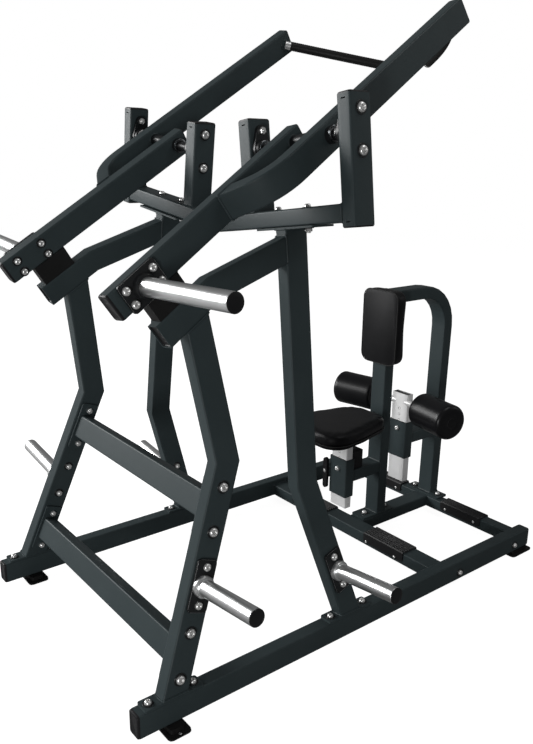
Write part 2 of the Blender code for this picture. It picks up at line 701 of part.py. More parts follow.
def lever(side, hand, pivot):
    path = [(0, s, LEVER_T) for s in LEVER_RANGE_S]
    weight_arm = hollow_tube(f"weight_arm_{side}", path, X, LEVER_TUBE, TUBE_WALL, "powder_coat", pivot)
    pivot_hole(f"weight_arm_{side}_hole", weight_arm, 0, pivot)

    root_u = LEVER_TUBE[0] / 2 + GAP
    corner_s = HANDLE_ARM_ROOT_S + (HANDLE_ARM_U - root_u) / math.tan(HANDLE_ARM_BRANCH)
    route = [
        (hand * root_u, HANDLE_ARM_ROOT_S, LEVER_T), (hand * HANDLE_ARM_U, corner_s, LEVER_T),
        (hand * HANDLE_ARM_U, HANDLE_ARM_TIP_S, LEVER_T),
    ]
    path = rounded_path(route, HANDLE_ARM_BEND)
    handle_arm = hollow_tube(
        f"handle_arm_{side}", path, Z, LEVER_TUBE[::-1], TUBE_WALL, "powder_coat", pivot, (X * hand, None)
    )
    pivot_hole(f"handle_arm_{side}_hole", handle_arm, hand * HANDLE_ARM_U, pivot)

    shaft_ends = (
        YOKE_INNER_U + INNER_BRACKET[0] / 2 + SHAFT_END_GAP, YOKE_OUTER_U - TUBE[0] / 2 - SHAFT_END_GAP
    )
    faces = (-LEVER_TUBE[0] / 2 - GAP, HANDLE_ARM_U + LEVER_TUBE[0] / 2 + GAP)
    collars = (faces[0] - COLLAR_LENGTH, faces[1] + COLLAR_LENGTH)
    profile = [
        (0, shaft_ends[0]), (SHAFT_RADIUS, shaft_ends[0]), (SHAFT_RADIUS, collars[0]),
        (COLLAR_RADIUS, collars[0]), (COLLAR_RADIUS, faces[0]), (HUB_RADIUS, faces[0]),
        (HUB_RADIUS, faces[1]), (COLLAR_RADIUS, faces[1]), (COLLAR_RADIUS, collars[1]),
        (SHAFT_RADIUS, collars[1]), (SHAFT_RADIUS, shaft_ends[1]), (0, shaft_ends[1]),
    ]
    turned(f"pivot_shaft_{side}", profile, (0, 0, 0), X * hand, "plated_steel", pivot)

    # The horn tilts a little in the lever's frame, which brings it nearly level.
    direction = Vector((hand * math.cos(HORN_TILT), 0, math.sin(HORN_TILT)))
    start = Vector((hand * root_u, HORN_S, HORN_T))
    peg(f"weight_horn_{side}", start, X * hand, Y, direction, HORN_LENGTH, HORN_PLATE, "chrome", pivot)
    pull_handle(side, hand, pivot)


def pull_handle(side, hand, pivot):
    """A gently bowed bar that runs inwards from the end of the lever."""
    start, middle, end = (Vector((hand * p[0], p[1], p[2])) for p in (GRIP_START, GRIP_MIDDLE, GRIP_END))
    bow = 2 * middle - (start + end) / 2
    steps = 10
    path = []
    for i in range(steps + 1):
        t = i / steps
        path.append(start * (1 - t) ** 2 + bow * 2 * t * (1 - t) + end * t ** 2)
    normal = (middle - start).cross(end - middle).normalized()
    turns = [2 * math.pi * i / 16 for i in range(16)]
    profile = [(GRIP_RADIUS * math.cos(a), GRIP_RADIUS * math.sin(a)) for a in turns]
    bm = bmesh.new()
    rings = skin(bm, sections(path, normal, profile, X))
    bm.faces.new(rings[0])
    bm.faces.new(rings[-1])
    object_from(f"pull_handle_{side}", bm, "rubber", pivot)


# ---------------------------------------------------------------- seat, chest pad and rollers


def pad_post():
    """The upright tube behind the chest pad, on a plate. Its hollow runs out through the plate."""
    base = CROSS_TOP + GAP
    path = [(0, PAD_POST_Y, base + PLATE / 2), (0, PAD_POST_Y, PAD_POST_TOP)]
    body = solid_bar("pad_post", path, X, POST_TUBE, "powder_coat", None)
    outline = rounded_rectangle(*PAD_POST_PLATE, PLATE_CORNER)
    plate = prism("pad_post_plate", outline, (0, PAD_POST_PLATE_Y, base), X, Y, Z * PLATE, "powder_coat")
    combine(body, plate, "UNION")
    longer = [(0, PAD_POST_Y, base - OVERRUN), (0, PAD_POST_Y, PAD_POST_TOP + OVERRUN)]
    hollow = solid_bar(
        "pad_post_hollow", longer, X, tube_inside(POST_TUBE), "powder_coat", None, corner=HOLLOW_CORNER
    )
    combine(body, hollow, "DIFFERENCE")


def rear_arch():
    """A tube that runs back from the pad post and bends down to the rear cross tube."""
    base = CROSS_TOP + GAP
    start_y = PAD_POST_Y + POST_TUBE[1] / 2 + GAP
    low = REAR_LEG_Y["bottom"]
    route = [(0, start_y, ARCH_Z), (0, REAR_LEG_Y["top"], ARCH_Z), (0, low, base + PLATE / 2)]
    path = rounded_path(route, ARCH_BEND)
    body = solid_bar("rear_arch", path, X, POST_TUBE, "powder_coat", None, (None, Z))
    outline = rounded_rectangle(*REAR_LEG_PLATE, PLATE_CORNER)
    plate = prism("rear_arch_plate", outline, (0, REAR_LEG_PLATE_Y, base), X, Y, Z * PLATE, "powder_coat")
    combine(body, plate, "UNION")
    longer = [path[0] - Y * OVERRUN, *path[1:-1], path[-1] - Z * OVERRUN]
    hollow = solid_bar(
        "rear_arch_hollow", longer, X, tube_inside(POST_TUBE), "powder_coat", None, corner=HOLLOW_CORNER
    )
    combine(body, hollow, "DIFFERENCE")


def chest_pad():
    width, thick, height = CHEST_PAD
    back = PAD_POST_Y - POST_TUBE[1] / 2 - GAP
    outline = rounded_rectangle(width, height, CHEST_PAD_CORNER, 4)
    pad = prism("chest_pad", outline, (0, back, CHEST_PAD_Z), X, Z, -Y * thick, "vinyl")
    soften(pad)


def soften(pad, width=0.010):
    bevel = pad.modifiers.new("edge", "BEVEL")
    bevel.width = width
    bevel.segments = 2
    bevel.limit_method = "ANGLE"
    bevel.angle_limit = math.radians(60)


def sleeve(name, y, heights, arm_z, arm_end):
    """A guide sleeve with the arm that holds it and a lug for its release lever."""
    centre = (heights[0] + heights[1]) / 2
    body = solid_bar(name, [(0, y, heights[0]), (0, y, heights[1])], X, SLEEVE_SIZE, "powder_coat", None)
    towards = 1 if arm_end > y else -1
    near = y + towards * (SLEEVE_SIZE[1] / 2 - 0.002)
    arm = hollow_tube(
        f"{name}_arm", [(0, near, arm_z), (0, arm_end - towards * GAP, arm_z)], X, POST_TUBE, TUBE_WALL,
        "powder_coat", None,
    )
    combine(body, arm, "UNION")
    lug_z = centre + RELEASE_RISE
    beyond, deep, tall = RELEASE_LUG
    front = y - SLEEVE_SIZE[1] / 2
    lug = box(
        f"{name}_lug", (RELEASE_X - beyond, front, lug_z - tall / 2),
        (-SLEEVE_SIZE[0] / 2 + 0.002, front + deep, lug_z + tall / 2), "powder_coat",
    )
    combine(body, lug, "UNION")
    inner = (SLEEVE_SIZE[0] - 2 * SLEEVE_WALL, SLEEVE_SIZE[1] - 2 * SLEEVE_WALL)
    longer = [(0, y, heights[0] - OVERRUN), (0, y, heights[1] + OVERRUN)]
    hollow = solid_bar(f"{name}_hollow", longer, X, inner, "powder_coat", None, corner=GUIDE_CORNER)
    combine(body, hollow, "DIFFERENCE")
    return lug_z


def release_lever(name, y, pivot_z):
    """A flat lever that swings sideways on a pin through its upper half."""
    front = y - SLEEVE_SIZE[1] / 2 - GAP
    wide, thick, long = RELEASE_SIZE
    hinge = empty(f"{name}_pivot", (RELEASE_X, front - thick / 2, pivot_z))
    half = wide / 2
    outline = hull([(0, RELEASE_TOP, half), (0, 0, half * 1.1), (0, RELEASE_TOP - long + wide, half)], 12)
    prism(name, outline, (0, thick / 2, 0), X, Z, -Y * thick, "black_plastic", hinge)


def seat():
    front = PAD_POST_Y - POST_TUBE[1] / 2
    pivot_z = sleeve("seat_sleeve", SEAT_POST_Y, SEAT_SLEEVE_Z, SEAT_ARM_Z, front)
    release_lever("seat_release_lever", SEAT_POST_Y, pivot_z)
    low = SEAT_POST_BOTTOM
    slide = empty("seat_slide", (0, SEAT_POST_Y, low))
    length = SEAT_PAD_Z[0] - GAP - SEAT_PLATE[2] + 0.001 - low
    path = [(0, 0, 0), (0, 0, length)]
    post = solid_bar("seat_post", path, X, POST_SIZE, "plated_steel", slide, corner=POST_CORNER)
    wide, deep, thick = SEAT_PLATE
    outline = rounded_rectangle(wide, deep, FLANGE_CORNER)
    plate = prism("seat_post_plate", outline, (0, 0, length - 0.001), X, Y, Z * thick, "plated_steel", slide)
    combine(post, plate, "UNION")
    inner = (POST_SIZE[0] - 2 * POST_WALL, POST_SIZE[1] - 2 * POST_WALL)
    path = [(0, 0, -OVERRUN), (0, 0, length - POST_CORNER)]
    hollow = solid_bar(
        "seat_post_hollow", path, X, inner, "plated_steel", slide, corner=POST_CORNER - POST_WALL
    )
    combine(post, hollow, "DIFFERENCE")
    half, back, top = LOCK_BOX[0] / 2, LOCK_BOX[1], LOCK_BOX[2]
    corner = (-half, SEAT_POST_Y + SLEEVE_SIZE[1] / 2 + GAP, SEAT_ARM_Z + POST_TUBE[1] / 2 + GAP)
    box("seat_lock_housing", corner, (half, back, top), "black_plastic", bevel=0.003)
    outline = hull([(a * x, y - SEAT_POST_Y, r) for a in (1, -1) for x, y, r in SEAT_OUTLINE])
    bottom, top = SEAT_PAD_Z
    pad = prism("seat_pad", outline, (0, 0, bottom - low), X, Y, Z * (top - bottom), "vinyl", slide)
    soften(pad)


def thigh_rollers():
    share = (ROLLER_ARM_Z - POST_TUBE[1] / 2 - CROSS_TOP) / (ARCH_Z - CROSS_TOP)
    leg_y = REAR_LEG_Y["bottom"] + (REAR_LEG_Y["top"] - REAR_LEG_Y["bottom"]) * share
    front = leg_y - POST_TUBE[1] / 2 - GAP
    pivot_z = sleeve("roller_sleeve", ROLLER_POST_Y, ROLLER_SLEEVE_Z, ROLLER_ARM_Z, front)
    release_lever("roller_release_lever", ROLLER_POST_Y, pivot_z)
    slide = empty("roller_slide", (0, ROLLER_POST_Y, ROLLER_AXLE_Z))
    low, high = (z - ROLLER_AXLE_Z for z in ROLLER_POST_Z)
    post = hollow_tube(
        "roller_post", [(0, 0, low), (0, 0, high)], X, POST_SIZE, POST_WALL, "plated_steel", slide,
        corner=POST_CORNER,
    )
    hole = bent_axle("roller_post_hole", ROLLER_AXLE_RADIUS + 0.0005, 0.09, slide)
    combine(post, hole, "DIFFERENCE")
    bent_axle("roller_axle", ROLLER_AXLE_RADIUS, ROLLER_AXLE_REACH, slide)
    inner, outer = ROLLER_ALONG
    r = ROLLER_RADIUS
    profile = [
        (ROLLER_BORE, inner), (r - 0.012, inner), (r - 0.003, inner + 0.005), (r, inner + 0.015),
        (r, outer - 0.022), (r - 0.005, outer - 0.008), (r - 0.018, outer), (ROLLER_BORE, outer),
    ]
    for side, hand in HANDS.items():
        direction = (hand * math.cos(ROLLER_SWEEP), -math.sin(ROLLER_SWEEP), 0)
        turned(f"thigh_roller_{side}", profile, (0, 0, 0), direction, "foam", slide)


def bent_axle(name, radius, reach, slide):
    """A round bar through the post, with both halves swept forwards."""
    ends = [Vector((hand * math.cos(ROLLER_SWEEP), -math.sin(ROLLER_SWEEP), 0)) * reach for hand in (-1, 1)]
    turns = [2 * math.pi * i / 20 for i in range(20)]
    profile = [(radius * math.cos(a), radius * math.sin(a)) for a in turns]
    bm = bmesh.new()
    rings = skin(bm, sections([ends[0], Vector(), ends[1]], Z, profile))
    bm.faces.new(rings[0])
    bm.faces.new(rings[-1])
    return object_from(name, bm, "plated_steel", slide)


def main():
    clear_scene()
    rails_and_feet()
    cross_tubes()
    treads()
    braces()
    for side, hand in HANDS.items():
        frame = empty(f"side_frame_{side}", (hand * RAIL_X, 0, RAIL_TOP), (0, -hand * LEAN, 0))
        side_frame(side, hand, frame)
        storage_pegs(side, hand, frame)
        yoke(side, hand, frame)
        pivot = empty(f"lever_pivot_{side}", (0, PIVOT_Y, PIVOT_W), (LEVER_SLOPE, 0, 0), frame)
        lever(side, hand, pivot)
    crossbeam()
    pad_post()
    rear_arch()
    chest_pad()
    seat()
    thigh_rollers()


main()
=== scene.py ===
"""Looks for the lat pulldown machine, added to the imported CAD: small fittings, pads and finishes.

Side pieces are drawn in the frame of their side (u outwards, y along, w up the leaned plane), and lever
pieces in the frame of the lever's pivot (u, s along the lever, t square to it), as in the CAD.
"""
import json
import math

import bmesh
import bpy
from mathutils import Matrix, Vector, noise

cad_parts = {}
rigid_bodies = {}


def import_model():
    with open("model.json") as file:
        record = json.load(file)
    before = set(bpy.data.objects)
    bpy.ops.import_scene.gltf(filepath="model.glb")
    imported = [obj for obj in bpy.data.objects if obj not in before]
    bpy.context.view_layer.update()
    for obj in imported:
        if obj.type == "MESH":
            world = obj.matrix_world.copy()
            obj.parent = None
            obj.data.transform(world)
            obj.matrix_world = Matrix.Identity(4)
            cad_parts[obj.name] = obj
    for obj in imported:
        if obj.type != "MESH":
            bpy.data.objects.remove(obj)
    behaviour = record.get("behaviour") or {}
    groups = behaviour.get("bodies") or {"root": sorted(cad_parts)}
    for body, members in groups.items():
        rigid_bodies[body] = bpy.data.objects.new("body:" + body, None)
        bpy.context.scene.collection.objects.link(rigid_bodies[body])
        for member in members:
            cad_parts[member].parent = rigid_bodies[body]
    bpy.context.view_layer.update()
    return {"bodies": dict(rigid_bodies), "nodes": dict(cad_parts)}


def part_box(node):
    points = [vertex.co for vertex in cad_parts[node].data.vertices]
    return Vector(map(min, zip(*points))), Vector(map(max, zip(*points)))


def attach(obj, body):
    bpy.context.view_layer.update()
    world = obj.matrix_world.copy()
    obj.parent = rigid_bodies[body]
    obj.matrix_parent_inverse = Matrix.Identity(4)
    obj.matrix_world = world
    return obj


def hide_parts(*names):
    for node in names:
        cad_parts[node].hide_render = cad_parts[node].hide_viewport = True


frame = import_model()
NODES = frame["nodes"]
X, Y, Z = Vector((1, 0, 0)), Vector((0, 1, 0)), Vector((0, 0, 1))
HANDS = {"right": 1, "left": -1}

# The same driving sizes as the CAD.
LEAN = math.radians(7.14)
RAIL_X, RAIL_TOP, RAIL_END = 0.498, 0.095, 0.899
CROSS_TOP, PLATE, GAP = 0.075, 0.008, 0.0003
CROSS_TUBES = {"front": (0.3965, 0.075), "rear": (0.8675, 0.052)}
FOOT_Y = {"front": -0.7925, "rear": 0.858}
FOOT_PLATE_TOP = 0.006
PIVOT_Y, PIVOT_W = -0.2405, 1.497
BRACKET_U = {"inner": -0.1607, "outer": 0.2673}
BRACKET_SIZE = {"inner": (0.056, 0.080), "outer": (0.050, 0.075)}
BRACKET_Y = {"inner": -0.238, "outer": -0.2405}
BRACKET_TOP_W = {"inner": 1.5825, "outer": 1.5875}
BRACKET_BOTTOM_W = 1.255
BEAM_W = 1.2903
HEAD_PLATE_W = 1.259
SLOPE = math.radians(33.4)
TUBE = (0.050, 0.075)
SIDE = TUBE[0] / 2
TUBE_CORNER = 0.006
WALL = 0.003
LEG_TUBE = (0.050, 0.080)
FRONT = ((-0.7865, 0.0), (-0.5485, 0.6285))
REAR = ((-0.1075, 0.0), (-0.2635, 0.490))
REAR_TOP_Y = -0.2495
PEG_W = {"front": 0.300, "rear": 0.176}
PEG_LENGTH = 0.257
PEG_PLATE = (0.150, 0.064)
PEG_BOLT_SPREAD = 0.0545
PLATE_CORNER = 0.010
BRACE_BOLT_W = (0.562, 0.442, 0.174, 0.051)
BASE_BOLT_SPREAD = 0.073
LEVER_TUBE = (0.050, 0.080)
LEVER_T = -0.0035
HUB_RADIUS, COLLAR_RADIUS = 0.020, 0.0235
HORN_S, HORN_T, HORN_LENGTH, HORN_TILT = -0.634, -0.007, 0.366, math.radians(-6.3)
HORN_PLATE = (0.086, 0.128)
HORN_BOLT_SPREAD = (0.048, 0.021)
LEVER_ENDS_S = (-0.7235, 0.038)
HANDLE_ROOT_S, HANDLE_TIP_S = -0.281, 0.692
HANDLE_BRANCH_LENGTH = 0.0568
HANDLE_U = 0.151
STUB_TUBE_T, STUB_END_S = -0.1495, -0.669
FRONT_UPPER_SLOPE = -0.1516
TOP_TUBE_JOINT_W, TOP_TUBE_JOINT_HEIGHT = 1.2015, 0.0790
COLLAR_LENGTH = 0.020
BEARING_BOLT_SPREAD, BEARING_FLANGE, BEARING_LENGTH = 0.053, 0.012, 0.027
POST_TUBE = (0.075, 0.050)
PAD_POST_Y, PAD_POST_TOP = 0.5435, 1.038
REAR_LEG_Y = 0.889
ARCH_Z = 1.013
SLEEVE = (0.098, 0.047)
POST = (0.087, 0.034)
SEAT_Y, SEAT_ARM_Z = 0.333, 0.2965
ROLLER_Y, ROLLER_ARM_Z, AXLE_Z = 0.677, 0.386, 0.551
SEAT_SLEEVE_Z, ROLLER_SLEEVE_Z = (0.217, 0.377), (0.305, 0.465)
SEAT_OUTLINE = ((0.084, 0.205, 0.075), (0.078, 0.290, 0.070), (0.034, 0.412, 0.082))
RELEASE_X = -0.063
ROLLER_SWEEP = math.radians(11.3)
ROLLER_ALONG, ROLLER_RADIUS = (0.129, 0.322), 0.071
GRIP_POINTS = ((HANDLE_U - SIDE - GAP, 0.6635, -0.005), (-0.004, 0.777, -0.104), (-0.187, 0.868, -0.191))
PIN_PITCH = 0.0255


def side_matrix(hand):
    return Matrix.Translation((hand * RAIL_X, 0, RAIL_TOP)) @ Matrix.Rotation(-hand * LEAN, 4, "Y")


def lever_matrix(hand):
    return side_matrix(hand) @ Matrix.Translation((0, PIVOT_Y, PIVOT_W)) @ Matrix.Rotation(SLOPE, 4, "X")


def frame_at(origin, z_axis, x_hint=X):
    """A matrix at origin whose Z is z_axis and whose X is as near x_hint as it can be."""
    z = Vector(z_axis).normalized()
    x = Vector(x_hint) - z * Vector(x_hint).dot(z)
    x = x.normalized() if x.length > 1e-4 else z.orthogonal().normalized()
    return Matrix.Translation(origin) @ Matrix((x, z.cross(x), z)).transposed().to_4x4()


# ---------------------------------------------------------------- materials


def new_material(name):
    mat = bpy.data.materials.new(name)
    mat.use_nodes = True
    return mat, mat.node_tree, mat.node_tree.nodes["Principled BSDF"]


def node(tree, kind, **values):
    made = tree.nodes.new(kind)
    for key, value in values.items():
        if hasattr(made, key):
            setattr(made, key, value)
        else:
            made.inputs[key.replace("_", " ")].default_value = value
    return made


def coords(tree, scale=(1, 1, 1), rotation=(0, 0, 0)):
    source = tree.nodes.new("ShaderNodeTexCoord")
    mapping = tree.nodes.new("ShaderNodeMapping")
    mapping.inputs["Scale"].default_value = scale
    mapping.inputs["Rotation"].default_value = rotation
    tree.links.new(source.outputs["Object"], mapping.inputs["Vector"])
    return mapping.outputs["Vector"]


def noise_node(tree, vector, scale, detail=3.0, rough=0.5):
    made = node(tree, "ShaderNodeTexNoise", Scale=scale, Detail=detail, Roughness=rough)
    tree.links.new(vector, made.inputs["Vector"])
    return made.outputs["Fac"]


def ramp(tree, value, low, high, start=0.3, end=0.7):
    made = tree.nodes.new("ShaderNodeValToRGB")
    made.color_ramp.elements[0].position = start
    made.color_ramp.elements[1].position = end
    made.color_ramp.elements[0].color = low if len(low) == 4 else (*low, 1)
    made.color_ramp.elements[1].color = high if len(high) == 4 else (*high, 1)
    tree.links.new(value, made.inputs["Fac"])
    return made.outputs["Color"]


def span(tree, value, low, high):
    made = tree.nodes.new("ShaderNodeMapRange")
    made.inputs["To Min"].default_value = low
    made.inputs["To Max"].default_value = high
    tree.links.new(value, made.inputs["Value"])
    return made.outputs["Result"]


def add_bump(tree, shader, height, strength, distance, before=None):
    made = node(tree, "ShaderNodeBump", Strength=strength, Distance=distance)
    tree.links.new(height, made.inputs["Height"])
    if before:
        tree.links.new(before, made.inputs["Normal"])
    tree.links.new(made.outputs["Normal"], shader.inputs["Normal"])
    return made.outputs["Normal"]


def coated(name, dark, light, rough, bump=0.25, grain=900.0, coat=0.0, specular=0.5):
    """Paint or plastic: two close shades in soft patches, and a fine grain in height and roughness."""
    mat, tree, shader = new_material(name)
    where = coords(tree)
    patches = noise_node(tree, where, 6.0, 4.0)
    speckle = noise_node(tree, where, grain, 2.0)
    tree.links.new(ramp(tree, patches, dark, light), shader.inputs["Base Color"])
    tree.links.new(span(tree, speckle, rough - 0.06, rough + 0.08), shader.inputs["Roughness"])
    add_bump(tree, shader, speckle, bump, 0.0004)
    shader.inputs["Specular IOR Level"].default_value = specular
    shader.inputs["Coat Weight"].default_value = coat
    shader.inputs["Coat Roughness"].default_value = 0.25
    return mat


def plated(name, colour, rough, along=(1, 1, 1), scratch=0.10, metallic=1.0, spread=0.3):
    """Bright metal with faint drawn lines across the direction whose scale is smallest."""
    mat, tree, shader = new_material(name)
    lines = noise_node(tree, coords(tree, along), 60.0, 4.0)
    smudge = noise_node(tree, coords(tree), 9.0, 3.0)
    tint = tuple(c * 0.86 for c in colour)
    tree.links.new(ramp(tree, smudge, tint, colour), shader.inputs["Base Color"])
    rougher = span(tree, lines, rough * (1 - spread), rough * (1 + spread))
    tree.links.new(rougher, shader.inputs["Roughness"])
    add_bump(tree, shader, lines, scratch, 0.0002)
    shader.inputs["Metallic"].default_value = metallic
    return mat


def leather(name, dark, light, rough):
    """Black upholstery vinyl: cells of grain with fine pores over them."""
    mat, tree, shader = new_material(name)
    where = coords(tree)
    cells = node(tree, "ShaderNodeTexVoronoi", Scale=420.0, feature="DISTANCE_TO_EDGE")
    tree.links.new(where, cells.inputs["Vector"])
    pores = noise_node(tree, where, 700.0, 3.0)
    soft = noise_node(tree, where, 14.0, 3.0)
    tree.links.new(ramp(tree, soft, dark, light), shader.inputs["Base Color"])
    tree.links.new(span(tree, pores, rough - 0.07, rough + 0.07), shader.inputs["Roughness"])
    first = add_bump(tree, shader, span(tree, cells.outputs["Distance"], 0.0, 1.0), 0.5, 0.0006)
    add_bump(tree, shader, pores, 0.2, 0.0003, first)
    shader.inputs["Specular IOR Level"].default_value = 0.15
    shader.inputs["Sheen Weight"].default_value = 0.02
    return mat


POWDER = coated(
    "powder_coat", (0.032, 0.044, 0.047), (0.038, 0.051, 0.054), 0.42, 0.18, 1100, specular=0.16
)
PLATE_BLACK = coated("black_plate", (0.008, 0.009, 0.010), (0.012, 0.013, 0.014), 0.34, 0.15, specular=0.30)
PLASTIC = coated("black_plastic", (0.006, 0.006, 0.007), (0.010, 0.010, 0.011), 0.4, 0.3, 600, specular=0.3)
RUBBER = coated("rubber", (0.006, 0.006, 0.006), (0.010, 0.010, 0.010), 0.58, 0.4, 400, specular=0.25)
FOAM = coated("foam_skin", (0.005, 0.005, 0.006), (0.008, 0.008, 0.009), 0.30, 0.25, 350, specular=0.24)
GRIP = coated("grip_rubber", (0.007, 0.007, 0.007), (0.012, 0.012, 0.012), 0.48, 0.6, 260, specular=0.30)
TREAD = coated("tread_plastic", (0.009, 0.009, 0.010), (0.015, 0.015, 0.016), 0.46, 0.3, 500, specular=0.30)
THREAD = coated("seam", (0.004, 0.004, 0.004), (0.007, 0.007, 0.007), 0.6, 0.3, 900)
VINYL = leather("vinyl", (0.004, 0.004, 0.005), (0.006, 0.006, 0.007), 0.38)
VINYL_BAND = leather("vinyl_band", (0.005, 0.005, 0.006), (0.008, 0.008, 0.009), 0.50)
CHROME = plated("chrome", (0.92, 0.93, 0.93), 0.32, (30, 1, 1), 0.0, spread=0.06)
SATIN = plated("satin_steel", (0.96, 0.96, 0.96), 0.38, (40, 40, 1), 0.04, 0.20)
DARK_STEEL = plated("dark_steel", (0.20, 0.21, 0.22), 0.24, (1, 1, 1), 0.05)
ZINC = plated("bolt_zinc", (0.90, 0.90, 0.89), 0.30, (1, 1, 1), 0.04, 0.75)


# ---------------------------------------------------------------- mesh helpers


def rounded_rectangle(across, deep, corner, steps=4):
    points = []
    for quarter, (a, b) in enumerate(((1, 1), (-1, 1), (-1, -1), (1, -1))):
        for step in range(steps + 1):
            angle = math.pi / 2 * (quarter + step / steps)
            x = a * (across / 2 - corner) + corner * math.cos(angle)
            y = b * (deep / 2 - corner) + corner * math.sin(angle)
            points.append((x, y))
    return points


def circle(radius, steps=24):
    turns = [2 * math.pi * i / steps for i in range(steps)]
    return [(radius * math.cos(a), radius * math.sin(a)) for a in turns]


class Shape:
    """Geometry gathered in one mesh, each bit placed by a matrix in the row frame."""

    def __init__(self):
        self.bm = bmesh.new()

    def rings(self, rings, cap_start=True, cap_end=True):
        made = [[self.bm.verts.new(p) for p in ring] for ring in rings]
        count = len(rings[0])
        for one, two in zip(made, made[1:]):
            for i in range(count):
                j = (i + 1) % count
                self.bm.faces.new((one[i], one[j], two[j], two[i]))
        if cap_start:
            self.bm.faces.new(made[0][::-1])
        if cap_end:
            self.bm.faces.new(made[-1])

    def stack(self, matrix, layers):
        """layers are (outline, height) pairs along the matrix's Z."""
        self.rings([[matrix @ Vector((a, b, h)) for a, b in outline] for outline, h in layers])

    def slab(self, matrix, across, deep, height, corner, edge=0.0015, steps=4):
        """A rounded plate from z = 0 to height, with a softened far edge."""
        full = rounded_rectangle(across, deep, corner, steps)
        mid = rounded_rectangle(across - 0.6 * edge, deep - 0.6 * edge, corner, steps)
        inset = rounded_rectangle(across - 2 * edge, deep - 2 * edge, max(corner - edge, 0.0005), steps)
        self.stack(matrix, [(full, 0), (full, height - edge), (mid, height - 0.35 * edge), (inset, height)])

    def lathe(self, matrix, profile, steps=28):
        """profile is (radius, height) pairs; the ends are closed."""
        self.stack(matrix, [(circle(max(r, 1e-5), steps), h) for r, h in profile])

    def bolt(self, matrix, radius=0.0105, height=0.009):
        """A domed hexagon socket head with its recess."""
        r, h = radius, height
        head = [(r, 0), (r, 0.35 * h), (0.96 * r, 0.55 * h), (0.84 * r, 0.80 * h), (0.62 * r, 0.97 * h)]
        recess = [(0.50 * r, h), (0.46 * r, 0.97 * h), (0.44 * r, 0.55 * h)]
        self.lathe(matrix, head + recess, 20)

    def hexagon(self, matrix, across=0.019, height=0.009):
        """A hexagon nut or head with chamfered corners, and the end of its thread."""
        r = across / math.sqrt(3)
        full, inset = circle(r, 6), circle(r * 0.88, 6)
        self.stack(matrix, [(inset, 0), (full, 0.1 * height), (full, 0.85 * height), (inset, height)])
        thread = [(0.0058, 0), (0.0058, 0.004), (0.0048, 0.005)]
        self.lathe(matrix @ Matrix.Translation((0, 0, height * 0.9)), thread, 14)

    def washer(self, matrix, radius=0.0165, height=0.002):
        self.lathe(matrix, [(radius, 0), (radius, height * 0.6), (radius - 0.0008, height)], 28)

    def bead(self, points, radius=0.004, closed=False, seed=0.0):
        """A weld bead along a line of points, rippled along its length."""
        points = [Vector(p) for p in points]
        path = []
        ends = points[1:] + points[:1] if closed else points[1:]
        for a, b in zip(points, ends):
            count = max(1, int((b - a).length / 0.0022))
            path += [a.lerp(b, i / count) for i in range(count)]
        if not closed:
            path.append(points[-1])
        rings = []
        for i, p in enumerate(path):
            ahead = path[(i + 1) % len(path)] if closed or i + 1 < len(path) else p
            behind = path[i - 1] if closed or i else p
            along = (ahead - behind).normalized()
            side = along.orthogonal() if abs(along.z) > 0.9 else along.cross(Z)
            side = side.normalized()
            other = along.cross(side)
            swell = radius * (1 + 0.13 * (i % 2) + 0.15 * noise.noise(p * 90 + Vector((seed, 0, 0))))
            if not closed and i in (0, len(path) - 1):
                swell *= 0.4
            rings.append([p + (side * a + other * b) * swell for a, b in circle(1, 6)])
        if closed:
            rings.append([v.copy() for v in rings[0]])
        self.rings(rings, not closed, not closed)

    def tube(self, points, radius, steps=20):
        """A round bar of given radii along a path, with closed ends."""
        points = [Vector(p) for p in points]
        radii = radius if isinstance(radius, (list, tuple)) else [radius] * len(points)
        start = (points[1] - points[0]).normalized()
        side = start.orthogonal().normalized()
        rings = []
        for i, p in enumerate(points):
            along = (points[min(i + 1, len(points) - 1)] - points[max(i - 1, 0)]).normalized()
            side = (side - along * side.dot(along)).normalized()
            other = along.cross(side)
            rings.append([p + (side * a + other * b) * radii[i] for a, b in circle(1, steps)])
        self.rings(rings)

    def done(self, name, mat, body, smooth=35, bevel=None):
        bmesh.ops.remove_doubles(self.bm, verts=self.bm.verts, dist=1e-6)
        bmesh.ops.recalc_face_normals(self.bm, faces=self.bm.faces)
        mesh = bpy.data.meshes.new(name)
        self.bm.to_mesh(mesh)
        self.bm.free()
        mesh.shade_smooth()
        mesh.set_sharp_from_angle(angle=math.radians(smooth))
        obj = bpy.data.objects.new(name, mesh)
        bpy.context.scene.collection.objects.link(obj)
        mesh.materials.append(mat)
        if bevel:
            made = obj.modifiers.new("edge", "BEVEL")
            made.width = bevel
            made.segments = 2
            made.limit_method = "ANGLE"
            made.angle_limit = math.radians(50)
            made.harden_normals = True
        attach(obj, body)
        return obj


class Fittings:
    """The bolts, washers, caps and welds of one body, one mesh for each finish."""

    FINISH = {
        "bolts": ZINC, "washers": PLATE_BLACK, "caps": PLASTIC, "welds": POWDER, "chrome": CHROME,
        # Dark steel for the real dark hubs, rims and screws, and painted shade for the pin holes of the
        # posts.
        "dark_steel_and_hole_shade": DARK_STEEL,
    }

    def __init__(self, body):
        self.body = body
        self.parts = {}

    def __getitem__(self, key):
        return self.parts.setdefault(key, Shape())

    def done(self):
        for key, shape in self.parts.items():
            shape.done(f"{self.body}_{key}", self.FINISH[key], self.body)


def fasten(fit, matrix, washer=True, radius=0.0105, nut=False):
    """A bolt head or nut standing on a face: the matrix's Z points out of the face."""
    lift = 0.0
    if washer:
        fit["washers"].washer(matrix, radius + 0.0055)
        lift = 0.002
    raised = matrix @ Matrix.Translation((0, 0, lift - 0.0002))
    if nut:
        fit["bolts"].hexagon(raised)
    else:
        fit["bolts"].bolt(raised, radius)


# ---------------------------------------------------------------- carried-over nodes


